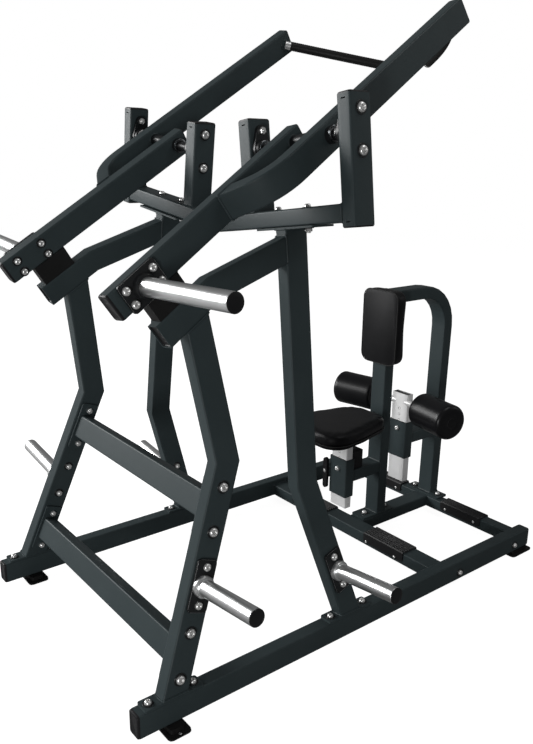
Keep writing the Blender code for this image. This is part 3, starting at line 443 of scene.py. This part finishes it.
def dress_nodes():
    """Finishes for the CAD nodes that stay in view, with their shading made smooth round their bends."""
    finish = {
        "storage_peg": CHROME, "weight_horn": CHROME, "seat_post": SATIN, "roller_post": SATIN,
        "roller_axle": SATIN, "pivot_shaft": PLATE_BLACK, "pivot_bearing": PLATE_BLACK, "foot_tread": TREAD,
        "bumper": RUBBER, "foot_": RUBBER, "release_lever": PLASTIC, "seat_lock": PLASTIC,
    }
    for name, obj in NODES.items():
        mat = POWDER
        for key, value in finish.items():
            if key in name:
                mat = value
                break
        obj.data.materials.clear()
        obj.data.materials.append(mat)
        for attribute in ("custom_normal", "sharp_face", "sharp_edge"):
            if attribute in obj.data.attributes:
                obj.data.attributes.remove(obj.data.attributes[attribute])
        obj.data.shade_smooth()
        weld = obj.modifiers.new("weld", "WELD")
        weld.merge_threshold = 0.00002
        split = obj.modifiers.new("split", "EDGE_SPLIT")
        split.split_angle = math.radians(50)
        weighted = obj.modifiers.new("weighted", "WEIGHTED_NORMAL")
        weighted.weight = 70
        weighted.keep_sharp = True


# ---------------------------------------------------------------- frame fittings


def at(pair, w):
    """(y, w) on a leg's lower centre line at height w."""
    (y0, w0), (y1, w1) = pair
    return y0 + (y1 - y0) * (w - w0) / (w1 - w0), w


def along_leg(pair):
    return Vector((0, pair[1][0] - pair[0][0], pair[1][1] - pair[0][1])).normalized()


def tube_cap(fit, matrix, size=TUBE, proud=0.0028, corner=0.006, lip=0.0012):
    """A pressed-in plastic cap over a tube's end, rounded by lip, with a slightly sunken middle."""
    a, b = size
    layers = [
        (rounded_rectangle(a - 0.001, b - 0.001, corner), -0.002),
        (rounded_rectangle(a - 0.001, b - 0.001, corner), proud - lip),
        (rounded_rectangle(a - 0.001 - 0.6 * lip, b - 0.001 - 0.6 * lip, corner), proud - 0.3 * lip),
        (rounded_rectangle(a - 0.001 - 2 * lip, b - 0.001 - 2 * lip, corner - 0.0015), proud),
        (rounded_rectangle(a - 0.016, b - 0.016, 0.004), proud),
        (rounded_rectangle(a - 0.019, b - 0.019, 0.003), proud - 0.001),
    ]
    fit["caps"].stack(matrix, layers)


def tube_plug(fit, matrix, size=TUBE, wall=WALL, depth=0.004):
    """A cap sunk inside the end of a tube, so that the tube's wall shows round it."""
    a, b = size[0] - 2 * wall, size[1] - 2 * wall
    layers = [
        (rounded_rectangle(a, b, 0.003), -0.012), (rounded_rectangle(a, b, 0.003), -depth),
        (rounded_rectangle(a - 0.004, b - 0.004, 0.002), -depth),
        (rounded_rectangle(a - 0.006, b - 0.006, 0.002), -depth - 0.002),
    ]
    fit["caps"].stack(matrix, layers)


def weld_ring(fit, matrix, size, radius=0.0028, seed=0.0):
    """A bead round a tube of the given size that meets a face in the matrix's XY plane."""
    ring = [matrix @ Vector((a, b, 0)) for a, b in rounded_rectangle(*size, TUBE_CORNER)]
    fit["welds"].bead(ring, radius, True, seed)


def base_fittings(fit):
    """Rail caps, rail bolts and the screws of the feet."""
    screw_head = [(0.0050, -0.001), (0.0050, 0.0008), (0.0040, 0.0014), (0.0015, 0.0012)]
    rim = [(0.0062, -0.001), (0.0062, 0.0004), (0.0048, 0.0006)]
    screw_reach = 0.0545
    for hand in HANDS.values():
        x = hand * RAIL_X
        for end in (-1, 1):
            mouth = frame_at((x, end * RAIL_END, RAIL_TOP - TUBE[1] / 2), (0, end, 0), X)
            tube_cap(fit, mouth, TUBE, 0.008, 0.007, 0.004)
        for y in (0.4606, 0.808):
            fasten(fit, frame_at((x + hand * SIDE, y, 0.050), (hand, 0, 0)), True, 0.0095)
        slot = frame_at((x + hand * screw_reach, FOOT_Y["front"], FOOT_PLATE_TOP), Z)
        fit["chrome"].lathe(slot, screw_head, 18)
        for end, y in FOOT_Y.items():
            ends = X if end == "front" else Y
            for way in (1, -1):
                screw = Vector((x, y, FOOT_PLATE_TOP)) + ends * way * screw_reach
                fit["dark_steel_and_hole_shade"].lathe(frame_at(screw, Z), rim, 18)


def base_plate_bolts(fit):
    for hand in HANDS.values():
        m = side_matrix(hand)
        up = m.to_3x3().inverted() @ Z
        for pair in (FRONT, REAR):
            for way in (-1, 1):
                place = Vector((0, pair[0][0] + way * BASE_BOLT_SPREAD, 0)) + up * (PLATE + GAP)
                fasten(fit, m @ frame_at(place, up), True, 0.0105)


def brace_and_peg_bolts(fit):
    """Bolts on the outer faces of the legs, and the nuts behind them."""
    behind_plate = SIDE + PLATE + GAP
    for hand in HANDS.values():
        m = side_matrix(hand)
        along = along_leg(FRONT)
        for w in BRACE_BOLT_W:
            y = at(FRONT, w)[0]
            fasten(fit, m @ frame_at((hand * SIDE, y, w), (hand, 0, 0), along), True, 0.0135)
            fit["bolts"].hexagon(m @ frame_at((-hand * behind_plate, y, w), (-hand, 0, 0), along))
        for place, pair in (("front", FRONT), ("rear", REAR)):
            along = along_leg(pair)
            middle = Vector((0, *at(pair, PEG_W[place])))
            for way in (1, -1):
                outer = middle + along * PEG_BOLT_SPREAD * way + X * hand * behind_plate
                fasten(fit, m @ frame_at(outer, (hand, 0, 0), along), False, 0.0115)
                inner = middle + along * PEG_BOLT_SPREAD * way - X * hand * SIDE
                fasten(fit, m @ frame_at(inner, (-hand, 0, 0), along), True, nut=True)


def yoke_fittings(fit):
    """Caps, bearing bolts and welds of the brackets, and the bolts of the crossbeam."""
    inner_ring = [(0.0235, -0.003), (0.0235, 0.0008), (0.0225, 0.0014), (0.0160, 0.0014), (0.0157, 0)]
    for hand in HANDS.values():
        m = side_matrix(hand)
        for place, u in BRACKET_U.items():
            outward = -1 if place == "inner" else 1
            half, y, top = BRACKET_SIZE[place][0] / 2, BRACKET_Y[place], BRACKET_TOP_W[place]
            tube_cap(fit, m @ frame_at((hand * u, y, top), Z, X), BRACKET_SIZE[place], 0.005, 0.007, 0.004)
            for up in (BEARING_BOLT_SPREAD, -BEARING_BOLT_SPREAD):
                outer = (hand * (u + outward * half), PIVOT_Y, PIVOT_W + up)
                fasten(fit, m @ frame_at(outer, (hand * outward, 0, 0)), True, 0.0135)
                near = (hand * (u - outward * (half + GAP + BEARING_FLANGE)), PIVOT_Y, PIVOT_W + up)
                fasten(fit, m @ frame_at(near, (-hand * outward, 0, 0)), False, nut=True)
            face = u - outward * (half + GAP + BEARING_LENGTH)
            ring = m @ frame_at((hand * face, PIVOT_Y, PIVOT_W), (-hand * outward, 0, 0))
            fit["dark_steel_and_hole_shade" if place == "inner" else "bolts"].lathe(ring, inner_ring, 40)
        low = m @ frame_at((hand * BRACKET_U["outer"], PIVOT_Y, BRACKET_BOTTOM_W), -Z, X)
        tube_cap(fit, low, TUBE, 0.004, 0.007, 0.003)
        # The crossbeam is bolted to the head plate, and the brackets are welded to the beam.
        for u in (-0.066, 0.066):
            fasten(fit, m @ frame_at((hand * u, PIVOT_Y, BEAM_W + TUBE[0] / 2), Z), True, 0.0095)
            fasten(fit, m @ frame_at((hand * u, PIVOT_Y, HEAD_PLATE_W), -Z), True, nut=True)
        foot = (hand * BRACKET_U["inner"], BRACKET_Y["inner"], BEAM_W + TUBE[0] / 2 + GAP)
        weld_ring(fit, m @ Matrix.Translation(foot), BRACKET_SIZE["inner"], seed=hand)
        wall = frame_at((hand * (BRACKET_U["outer"] - SIDE - GAP), PIVOT_Y, BEAM_W), (-hand, 0, 0), Y)
        weld_ring(fit, m @ wall, TUBE[::-1], seed=5 + hand)


def frame_welds(fit):
    """Beads where the posts meet their plates and the top tube."""
    for hand in HANDS.values():
        m = side_matrix(hand)
        up = m.to_3x3().inverted() @ Z
        for pair in (FRONT, REAR):
            slope = (pair[1][0] - pair[0][0]) / pair[1][1]
            ring = []
            foot = Vector((0, pair[0][0] + slope * PLATE, 0)) + up * (PLATE + 2 * GAP)
            for a, b in rounded_rectangle(LEG_TUBE[0], LEG_TUBE[1] * math.hypot(1, slope), TUBE_CORNER):
                ring.append(m @ (foot + Vector((a, b, 0))))
            fit["welds"].bead(ring, 0.0028, True, hand)
        weld_ring(fit, m @ Matrix.Translation((0, REAR_TOP_Y, HEAD_PLATE_W)), LEG_TUBE, seed=2 + hand)
        fit["welds"].bead([m @ p for p in joint_ring()], 0.003, True, 8 + hand)
        front_face = REAR_TOP_Y - LEG_TUBE[1] / 2 - 0.0012
        wall = frame_at((0, front_face, TOP_TUBE_JOINT_W), (0, -1, 0), X)
        weld_ring(fit, m @ wall, (TUBE[0], TOP_TUBE_JOINT_HEIGHT), seed=11 + hand)


def joint_ring():
    """Outline of the front upright's top on the underside of the steep tube, in the side's frame."""
    normal = Vector((0, -math.sin(SLOPE), math.cos(SLOPE)))
    pivot = Vector((0, PIVOT_Y, PIVOT_W))
    direction = Vector((0, FRONT_UPPER_SLOPE, 1)).normalized()
    across = X.cross(direction)
    start = Vector((0, *FRONT[1]))
    under = STUB_TUBE_T - TUBE[1] / 2 - GAP
    ring = []
    for a, b in rounded_rectangle(*LEG_TUBE, TUBE_CORNER):
        p = start + X * a + across * b
        p += direction * ((under - (p - pivot).dot(normal)) / direction.dot(normal))
        ring.append(p)
    return ring


def stub_caps(fit):
    for hand in HANDS.values():
        mouth = lever_matrix(hand) @ frame_at((0, STUB_END_S, STUB_TUBE_T), (0, -1, 0), X)
        tube_plug(fit, mouth, depth=0.003)


def peg_caps(fit_of):
    """Black end caps and bosses on the pegs of the frame and on the horns of the levers."""
    for side, hand in HANDS.items():
        m = side_matrix(hand)
        for place, pair in (("front", FRONT), ("rear", REAR)):
            start = Vector((hand * (SIDE + GAP), *at(pair, PEG_W[place])))
            round_end(fit_of["frame"], m @ frame_at(start, (hand, 0, 0)), PEG_LENGTH, "chrome")
        start = Vector((hand * (SIDE + GAP), HORN_S, HORN_T))
        direction = (hand * math.cos(HORN_TILT), 0, math.sin(HORN_TILT))
        root = lever_matrix(hand) @ frame_at(start, direction)
        round_end(fit_of[f"lever_{side}"], root, HORN_LENGTH, "washers")


def round_end(fit, matrix, length, boss_finish):
    cap = [(0.0205, -0.012), (0.0205, -0.0004), (0.0247, 0.0001), (0.0250, 0.0010), (0.0243, 0.0022)]
    cap += [(0.022, 0.0032), (0.012, 0.0036), (0.0005, 0.0036)]
    fit["caps"].lathe(matrix @ Matrix.Translation((0, 0, length)), cap, 36)
    boss = [(0.0325, 0), (0.0325, 0.011), (0.0300, 0.0146), (0.0256, 0.0150)]
    fit[boss_finish].lathe(matrix @ Matrix.Translation((0, 0, 0.0075)), boss, 36)


def flange_covers():
    """The black flange plates of the pegs, as skins over the bright CAD nodes."""
    rim, edge = 0.0004, 0.0012
    outside = SIDE + GAP + 0.00005
    for side, hand in HANDS.items():
        shape = Shape()
        m = side_matrix(hand)
        for place, pair in (("front", FRONT), ("rear", REAR)):
            start = Vector((hand * outside, *at(pair, PEG_W[place])))
            plate = m @ frame_at(start, (hand, 0, 0), along_leg(pair))
            shape.slab(plate, PEG_PLATE[0] + rim, PEG_PLATE[1] + rim, PLATE + GAP, PLATE_CORNER, edge)
        shape.done(f"peg_flanges_{side}", PLATE_BLACK, "frame")
        shape = Shape()
        plate = lever_matrix(hand) @ frame_at((hand * outside, HORN_S, HORN_T), (hand, 0, 0), Y)
        shape.slab(plate, HORN_PLATE[1] + rim, HORN_PLATE[0] + rim, PLATE + GAP, PLATE_CORNER, edge)
        shape.done(f"horn_flange_{side}", PLATE_BLACK, f"lever_{side}")


# ---------------------------------------------------------------- levers


def lever_fittings(fit, hand):
    """Caps, bolts, welds and collar rims of one lever."""
    m = lever_matrix(hand)
    low, high = LEVER_ENDS_S
    tube_cap(fit, m @ frame_at((0, low, LEVER_T), (0, -1, 0), X), LEVER_TUBE, 0.007, 0.007, 0.0035)
    tube_cap(fit, m @ frame_at((0, high, LEVER_T), (0, 1, 0), X), LEVER_TUBE, 0.004, 0.006, 0.002)
    tip = m @ frame_at((hand * HANDLE_U, HANDLE_TIP_S, LEVER_T), (0, 1, 0), X)
    tube_cap(fit, tip, LEVER_TUBE, 0.004, 0.006, 0.002)
    outer = hand * (SIDE + PLATE + 2 * GAP)
    for s in (HORN_S - HORN_BOLT_SPREAD[0], HORN_S + HORN_BOLT_SPREAD[0]):
        for t in (HORN_T - HORN_BOLT_SPREAD[1], HORN_T + HORN_BOLT_SPREAD[1]):
            fasten(fit, m @ frame_at((outer, s, t), (hand, 0, 0)), False, 0.0115)
            fasten(fit, m @ frame_at((-hand * SIDE, s, t), (-hand, 0, 0)), True, 0.0105)
    # Weld round the joint of the two arms, and round the pivot's hub.
    branch = m @ frame_at((hand * 0.0252, HANDLE_ROOT_S, LEVER_T), (hand, 0, 0), Y)
    weld_ring(fit, branch, (HANDLE_BRANCH_LENGTH, LEVER_TUBE[1]), 0.0032, hand * 3)
    for u in (-SIDE, SIDE, HANDLE_U - SIDE, HANDLE_U + SIDE):
        ring = [m @ Vector((hand * u, a, b)) for a, b in circle(HUB_RADIUS + 0.0012, 30)]
        fit["welds"].bead(ring, 0.0022, True, u)
    collar_end = SIDE + GAP + COLLAR_LENGTH
    for u, way in ((-collar_end, -1), (HANDLE_U + collar_end, 1)):
        edge = m @ frame_at((hand * u, 0, 0), (hand * way, 0, 0))
        r = COLLAR_RADIUS + 0.0004
        profile = [(r, -0.004), (r, 0.0002), (r - 0.0012, 0.0010), (0.0165, 0.0010), (0.0152, 0)]
        fit["dark_steel_and_hole_shade"].lathe(edge, profile, 40)


def grip(side, hand):
    """The pull handle: a ribbed rubber sleeve between a bright collar and a bright end cap."""
    m = lever_matrix(hand)
    start, middle, end = (Vector((hand * p[0], p[1], p[2])) for p in GRIP_POINTS)
    bow = 2 * middle - (start + end) / 2

    def on(t):
        return m @ (start * (1 - t) ** 2 + bow * 2 * t * (1 - t) + end * t ** 2)

    sleeve = Shape()
    count = 90
    ribbed = [0.0158 + 0.0007 * (0.5 + 0.5 * math.cos(i * math.pi)) for i in range(count + 1)]
    sleeve.tube([on(0.055 + 0.925 * i / count) for i in range(count + 1)], ribbed, 28)
    obj = sleeve.done(f"grip_sleeve_{side}", GRIP, f"lever_{side}", 60)
    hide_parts(f"pull_handle_{side}")
    metal = Shape()
    collar = [0.0152, 0.0152, 0.0152, 0.0152, 0.012]
    end_cap = [0.0155, 0.0170, 0.0170, 0.0155, 0.008]
    metal.tube([on(t) for t in (0.0, 0.02, 0.045, 0.062, 0.064)], collar, 28)
    metal.tube([on(t) for t in (0.972, 0.974, 0.990, 0.998, 1.0)], end_cap, 28)
    metal.done(f"grip_metal_{side}", CHROME, f"lever_{side}", 40)
    weld = Shape()
    ring = [m @ (start + Vector((0, a, b))) for a, b in circle(0.0175, 24)]
    weld.bead(ring, 0.0026, True, hand)
    weld.done(f"grip_weld_{side}", POWDER, f"lever_{side}")


# ---------------------------------------------------------------- seat station


def station_fittings(fit):
    plate_top = CROSS_TOP + GAP + PLATE
    for y in (0.479, 0.600):
        fasten(fit, frame_at((0, y, plate_top), Z), True, 0.0105)
    for x in (-0.066, 0.066):
        fasten(fit, frame_at((x, 0.8795, plate_top), Z), True, 0.0105)
    tube_cap(fit, frame_at((0, PAD_POST_Y, PAD_POST_TOP), Z, X), POST_TUBE, 0.0025)
    for end, xs, z in (("front", (0.135, 0.289), 0.044), ("rear", (0.146, 0.298), 0.051)):
        y, width = CROSS_TUBES[end]
        for hand in (1, -1):
            for x in xs:
                for way in (1, -1):
                    place = (hand * x, y + way * (width / 2 + GAP + 0.003), z)
                    fit["bolts"].bolt(frame_at(place, (0, way, 0)), 0.0056, 0.0035)
    for y, z, (low, high), arm in (
        (SEAT_Y, 0.333, SEAT_SLEEVE_Z, SEAT_ARM_Z), (ROLLER_Y, 0.434, ROLLER_SLEEVE_Z, ROLLER_ARM_Z)
    ):
        front = y - SLEEVE[1] / 2
        fasten(fit, frame_at((0, front, z), (0, -1, 0)), False, 0.0105)
        pivot = (RELEASE_X, front - 0.0123, (low + high) / 2 + 0.008)
        fit["bolts"].bolt(frame_at(pivot, (0, -1, 0)), 0.0065, 0.004)
        for edge, way in ((low, -1), (high, 1)):
            guide_rim(fit, y, edge, way)
        weld_ring(fit, frame_at((0, y + SLEEVE[1] / 2, arm), Y, X), POST_TUBE)
    weld_ring(fit, frame_at((0, PAD_POST_Y - 0.0255, SEAT_ARM_Z), -Y, X), POST_TUBE)
    weld_ring(fit, frame_at((0, REAR_LEG_Y - 0.0215, ROLLER_ARM_Z), -Y, X), POST_TUBE)
    weld_ring(fit, frame_at((0, PAD_POST_Y + 0.0255, ARCH_Z), Y, X), POST_TUBE)
    for y in (PAD_POST_Y, REAR_LEG_Y):
        weld_ring(fit, frame_at((0, y, plate_top + GAP), Z, X), POST_TUBE)
    for end in (-1, 1):
        for hand in (-1, 1):
            y, width = CROSS_TUBES["rear" if end > 0 else "front"]
            wall = frame_at((hand * (RAIL_X - SIDE - GAP), y, CROSS_TOP - 0.025), (-hand, 0, 0), Y)
            weld_ring(fit, wall, (width, 0.050), 0.0026, 20 + hand * end)


# Pin holes are drawn as thin dark steel discs: painted shade that stands for the dark inside of each hole.
PIN_HOLE_SHADE = [(0.0055, -0.001), (0.0055, 0.0002), (0.0045, 0.0003), (0.0040, -0.0006)]


def guide_rim(fit, y, edge, way):
    """The lip of the plastic guide that lines a sleeve, between the sleeve and its post."""
    outer = rounded_rectangle(SLEEVE[0] - 0.006, SLEEVE[1] - 0.006, 0.003)
    inner = rounded_rectangle(POST[0] + 0.0012, POST[1] + 0.0012, 0.004)
    low, high = edge - way * 0.004, edge + way * 0.0015
    turns = ((inner, low), (inner, high), (outer, high), (outer, low))
    rings = [[(a, y + b, z) for a, b in ring] for ring, z in turns]
    fit["caps"].rings([*rings, rings[0]], False, False)


def seat_post_fittings(fit):
    front = SEAT_Y - POST[1] / 2
    # Painted shade: a dark steel disc for each pin hole on the front of the seat post.
    for i in range(4):
        hole = frame_at((0, front, 0.378 + PIN_PITCH * i), (0, -1, 0))
        fit["dark_steel_and_hole_shade"].lathe(hole, PIN_HOLE_SHADE, 20)
    tube_plug(fit, frame_at((0, SEAT_Y, 0.1666), -Z, X), POST, 0.0025, 0.002)
    flush = [(0.0050, -0.001), (0.0050, 0.0001), (0.0044, 0.00015), (0.0040, -0.0006)]
    fit["dark_steel_and_hole_shade"].lathe(frame_at((POST[0] / 2, SEAT_Y, 0.180), X), flush, 20)


def carriage_fittings(fit):
    tube_plug(fit, frame_at((0, ROLLER_Y, 0.588), Z, X), POST, 0.0025, 0.0015)
    tube_plug(fit, frame_at((0, ROLLER_Y, 0.196), -Z, X), POST, 0.0025, 0.002)
    front = ROLLER_Y - POST[1] / 2
    # Painted shade: a dark steel disc for each pin hole on the front of the roller post.
    for i in range(3):
        hole = frame_at((0, front, 0.470 + PIN_PITCH * i), (0, -1, 0))
        fit["dark_steel_and_hole_shade"].lathe(hole, PIN_HOLE_SHADE, 20)


def stuffed(name, outline, base, across, up, depth, mat, body, swell, cap, soft_edge):
    """A padded block grown by cloth pressure from a slightly small core, its back held flat."""
    normal = across.cross(up)
    core = Shape()
    matrix = Matrix((across, up, normal)).transposed().to_4x4()
    matrix = Matrix.Translation(base) @ matrix
    centre = Vector((sum(a for a, b in outline) / len(outline), sum(b for a, b in outline) / len(outline)))

    def shrunk(amount):
        points = []
        for a, b in outline:
            away = Vector((a, b)) - centre
            points.append(tuple(centre + away * (1 - amount / away.length)))
        return points

    e = soft_edge
    layers = [(shrunk(swell), 0.0), (shrunk(swell), depth - swell - e)]
    for i in range(1, 6):
        angle = math.pi / 2 * i / 5
        layers.append((shrunk(swell + e * (1 - math.cos(angle))), depth - swell - e + e * math.sin(angle)))
    core.stack(matrix, layers)
    obj = core.done(name, mat, body, 60)
    remesh = obj.modifiers.new("remesh", "REMESH")
    remesh.mode = "VOXEL"
    remesh.voxel_size = 0.0055
    remesh.use_smooth_shade = True
    apply_modifiers(obj)
    back = matrix.inverted()
    pinned = obj.vertex_groups.new(name="held")
    rest = [v.co.copy() for v in obj.data.vertices]
    for v in obj.data.vertices:
        if (back @ v.co).z < 0.006:
            pinned.add([v.index], 1.0, "REPLACE")
    cloth = obj.modifiers.new("cloth", "CLOTH")
    settings = cloth.settings
    settings.quality = 6
    settings.use_pressure = True
    settings.uniform_pressure_force = 2.0
    settings.tension_stiffness = 12
    settings.compression_stiffness = 12
    settings.bending_stiffness = 6.0
    settings.effector_weights.gravity = 0
    settings.vertex_group_mass = "held"
    scene = bpy.context.scene
    for step in range(1, 21):
        scene.frame_set(step)
    apply_modifiers(obj)
    scene.frame_set(1)
    for v, was in zip(obj.data.vertices, rest):
        moved = v.co - was
        if moved.length > cap:
            v.co = was + moved.normalized() * cap
    smooth = obj.modifiers.new("smooth", "SMOOTH")
    smooth.factor = 0.5
    smooth.iterations = 12
    finer = obj.modifiers.new("finer", "SUBSURF")
    finer.levels = 1
    finer.render_levels = 1
    obj.data.shade_smooth()
    return obj


def apply_modifiers(obj):
    graph = bpy.context.evaluated_depsgraph_get()
    baked = bpy.data.meshes.new_from_object(obj.evaluated_get(graph))
    obj.modifiers.clear()
    old = obj.data
    obj.data = baked
    bpy.data.meshes.remove(old)


def hull(circles, steps=32):
    points = sorted(
        (x + r * math.cos(2 * math.pi * i / steps), y + r * math.sin(2 * math.pi * i / steps))
        for x, y, r in circles
        for i in range(steps)
    )

    def half(ordered):
        chain = []
        for point in ordered:
            while len(chain) > 1:
                (ax, ay), (bx, by) = chain[-2:]
                if (bx - ax) * (point[1] - ay) - (by - ay) * (point[0] - ax) > 1e-9:
                    break
                chain.pop()
            chain.append(point)
        return chain[:-1]

    return half(points) + half(points[::-1])


def even(outline, gap=0.008):
    """The outline with points at an even spacing."""
    found = []
    for a, b in zip(outline, outline[1:] + outline[:1]):
        a, b = Vector(a), Vector(b)
        count = max(1, round((b - a).length / gap))
        found += [tuple(a.lerp(b, i / count)) for i in range(count)]
    return found


def chest_pad():
    low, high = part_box("chest_pad")
    back = high.y
    wide, thick, tall = high.x - low.x, high.y - low.y, high.z - low.z
    middle = (low.z + high.z) / 2
    board_depth = 0.011
    outline = even(rounded_rectangle(wide - 0.002, tall - 0.002, 0.036, 8))
    base = Vector((0, back - board_depth + 0.002, middle))
    depth = thick - board_depth + 0.002
    pad = stuffed("chest_pad_cover", outline, base, -X, Z, depth, VINYL, "frame", 0.001, 0.004, 0.010)
    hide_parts("chest_pad")
    board = Shape()
    face = frame_at((0, back, middle), (0, -1, 0), X)
    board.slab(face, wide - 0.006, tall - 0.006, board_depth, 0.036, 0.002, 8)
    board.done("chest_pad_board", VINYL_BAND, "frame", 50)
    seam = Shape()
    edge = even(rounded_rectangle(wide - 0.004, tall - 0.004, 0.036, 8), 0.006)
    seam.bead([(a, back - board_depth + 0.0005, middle + b) for a, b in edge], 0.0016, True)
    seam.done("chest_pad_seam", THREAD, "frame", 80)


def seat_outline(inset=0.0, gap=0.008):
    return even(hull([(way * x, y, r - inset) for way in (1, -1) for x, y, r in SEAT_OUTLINE]), gap)


def seat_pad():
    low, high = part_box("seat_pad")
    board_depth = 0.013
    pad = stuffed(
        "seat_pad_cover", seat_outline(), Vector((0, 0, low.z + board_depth - 0.002)), X, Y,
        high.z - low.z - board_depth + 0.002, VINYL, "seat", 0.002, 0.004, 0.011,
    )
    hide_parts("seat_pad")
    board = Shape()
    layers = [(seat_outline(0.005), 0.0), (seat_outline(0.003), 0.002), (seat_outline(0.003), board_depth)]
    board.stack(Matrix.Translation((0, 0, low.z)), layers)
    board.done("seat_pad_board", VINYL_BAND, "seat", 50)
    seam = Shape()
    seam.bead([(a, b, low.z + board_depth) for a, b in seat_outline(0.001, 0.006)], 0.0016, True)
    seam.done("seat_pad_seam", THREAD, "seat", 80)


def rollers():
    for side, hand in HANDS.items():
        direction = Vector((hand * math.cos(ROLLER_SWEEP), -math.sin(ROLLER_SWEEP), 0))
        m = frame_at((0, ROLLER_Y, AXLE_Z), direction, Z)
        foam = Shape()
        (inner, outer), r = ROLLER_ALONG, ROLLER_RADIUS
        profile = [(0.0138, inner + 0.004), (0.016, inner + 0.001), (0.040, inner)]
        for i in range(9):
            angle = math.pi / 2 * i / 8
            profile.append((r - 0.013 + 0.013 * math.sin(angle), inner + 0.010 - 0.010 * math.cos(angle)))
        for i in range(1, 24):
            along = inner + 0.010 + (outer - 0.022 - inner - 0.010) * i / 24
            profile.append((r - 0.0006 * math.sin(math.pi * i / 24), along))
        for i in range(9):
            angle = math.pi / 2 * i / 8
            profile.append((r - 0.022 + 0.022 * math.cos(angle), outer - 0.020 + 0.018 * math.sin(angle)))
        profile += [(0.036, outer), (0.026, outer - 0.0005)]
        profile += [(0.0145, outer - 0.003), (0.0138, outer - 0.006)]
        foam.lathe(m, profile, 64)
        obj = foam.done(f"roller_foam_{side}", FOAM, f"roller_{side}", 70)
        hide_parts(f"thigh_roller_{side}")
        cap = Shape()
        plug = [(0.0220, 0), (0.0220, 0.0045), (0.0210, 0.0060), (0.016, 0.0066), (0.0005, 0.0068)]
        rim = [(0.022, 0), (0.0235, 0.001), (0.0235, 0.005)]
        cap.lathe(m @ Matrix.Translation((0, 0, outer - 0.008)), plug, 36)
        cap.lathe(m @ Matrix.Translation((0, 0, inner - 0.003)), rim, 36)
        cap.done(f"roller_hub_{side}", FOAM, "roller_carriage")


# ---------------------------------------------------------------- camera, floor and light


def camera():
    """An eye-level three-quarter view from behind the weight horns."""
    data = bpy.data.cameras.new("camera")
    data.lens = 36.86
    data.sensor_width = 36.0
    data.shift_x = -0.0016
    data.shift_y = 0.0140
    data.clip_end = 60
    obj = bpy.data.objects.new("camera", data)
    bpy.context.scene.collection.objects.link(obj)
    yaw = Matrix.Rotation(math.radians(51.56), 4, "Z")
    pitch = Matrix.Rotation(math.radians(90 - 16.69), 4, "X")
    roll = Matrix.Rotation(math.radians(0.724), 4, "Z")
    obj.matrix_world = Matrix.Translation((2.0648, -1.6980, 1.5522)) @ yaw @ pitch @ roll
    bpy.context.scene.camera = obj


def light(name, place, target, size, power, colour=(1, 1, 1)):
    data = bpy.data.lights.new(name, "AREA")
    data.shape = "RECTANGLE"
    data.size, data.size_y = size
    data.energy = power
    data.color = colour
    obj = bpy.data.objects.new(name, data)
    bpy.context.scene.collection.objects.link(obj)
    direction = Vector(target) - Vector(place)
    obj.matrix_world = Matrix.Translation(place) @ direction.to_track_quat("-Z", "Y").to_matrix().to_4x4()


def studio():
    """A pale floor and a white surround that stay bright behind the machine but light it only softly."""
    bm = bmesh.new()
    bmesh.ops.create_circle(bm, cap_ends=True, radius=14, segments=64)
    mesh = bpy.data.meshes.new("floor")
    bm.to_mesh(mesh)
    bm.free()
    floor = bpy.data.objects.new("floor", mesh)
    bpy.context.scene.collection.objects.link(floor)
    mat, tree, shader = new_material("floor")
    seen = tree.nodes.new("ShaderNodeLightPath").outputs["Is Camera Ray"]
    tree.links.new(span(tree, seen, 0.30, 0.32), shader.inputs["Base Color"])
    tree.links.new(span(tree, seen, 0.0, 0.95), shader.inputs["Emission Strength"])
    shader.inputs["Emission Color"].default_value = (1, 1, 1, 1)
    shader.inputs["Roughness"].default_value = 0.8
    shader.inputs["Specular IOR Level"].default_value = 0.0
    mesh.materials.append(mat)
    world = bpy.data.worlds.new("studio")
    world.use_nodes = True
    back = world.node_tree.nodes["Background"]
    back.inputs["Color"].default_value = (1, 1, 1, 1)
    seen = world.node_tree.nodes.new("ShaderNodeLightPath").outputs["Is Camera Ray"]
    world.node_tree.links.new(span(world.node_tree, seen, 0.14, 1.0), back.inputs["Strength"])
    bpy.context.scene.world = world
    bpy.context.scene.view_settings.view_transform = "Standard"
    light("key", (-3.9, -3.3, 2.5), (0, 0, 0.9), (3.2, 2.4), 310)
    light("top", (1.5, 1.0, 4.4), (0, 0, 0.6), (1.6, 1.6), 26)
    light("rim", (2.6, 3.4, 2.6), (0.2, 0.2, 0.8), (1.4, 2.0), 8)
    light("edge", (2.5, -3.4, 0.6), (0, 0, 0.7), (0.5, 1.0), 50)


def main():
    camera()
    studio()
    dress_nodes()
    fits = {body: Fittings(body) for body in frame["bodies"]}
    base_fittings(fits["frame"])
    base_plate_bolts(fits["frame"])
    brace_and_peg_bolts(fits["frame"])
    yoke_fittings(fits["frame"])
    frame_welds(fits["frame"])
    stub_caps(fits["frame"])
    station_fittings(fits["frame"])
    seat_post_fittings(fits["seat"])
    carriage_fittings(fits["roller_carriage"])
    peg_caps(fits)
    flange_covers()
    for side, hand in HANDS.items():
        lever_fittings(fits[f"lever_{side}"], hand)
        grip(side, hand)
    for fit in fits.values():
        fit.done()
    chest_pad()
    seat_pad()
    rollers()


main()
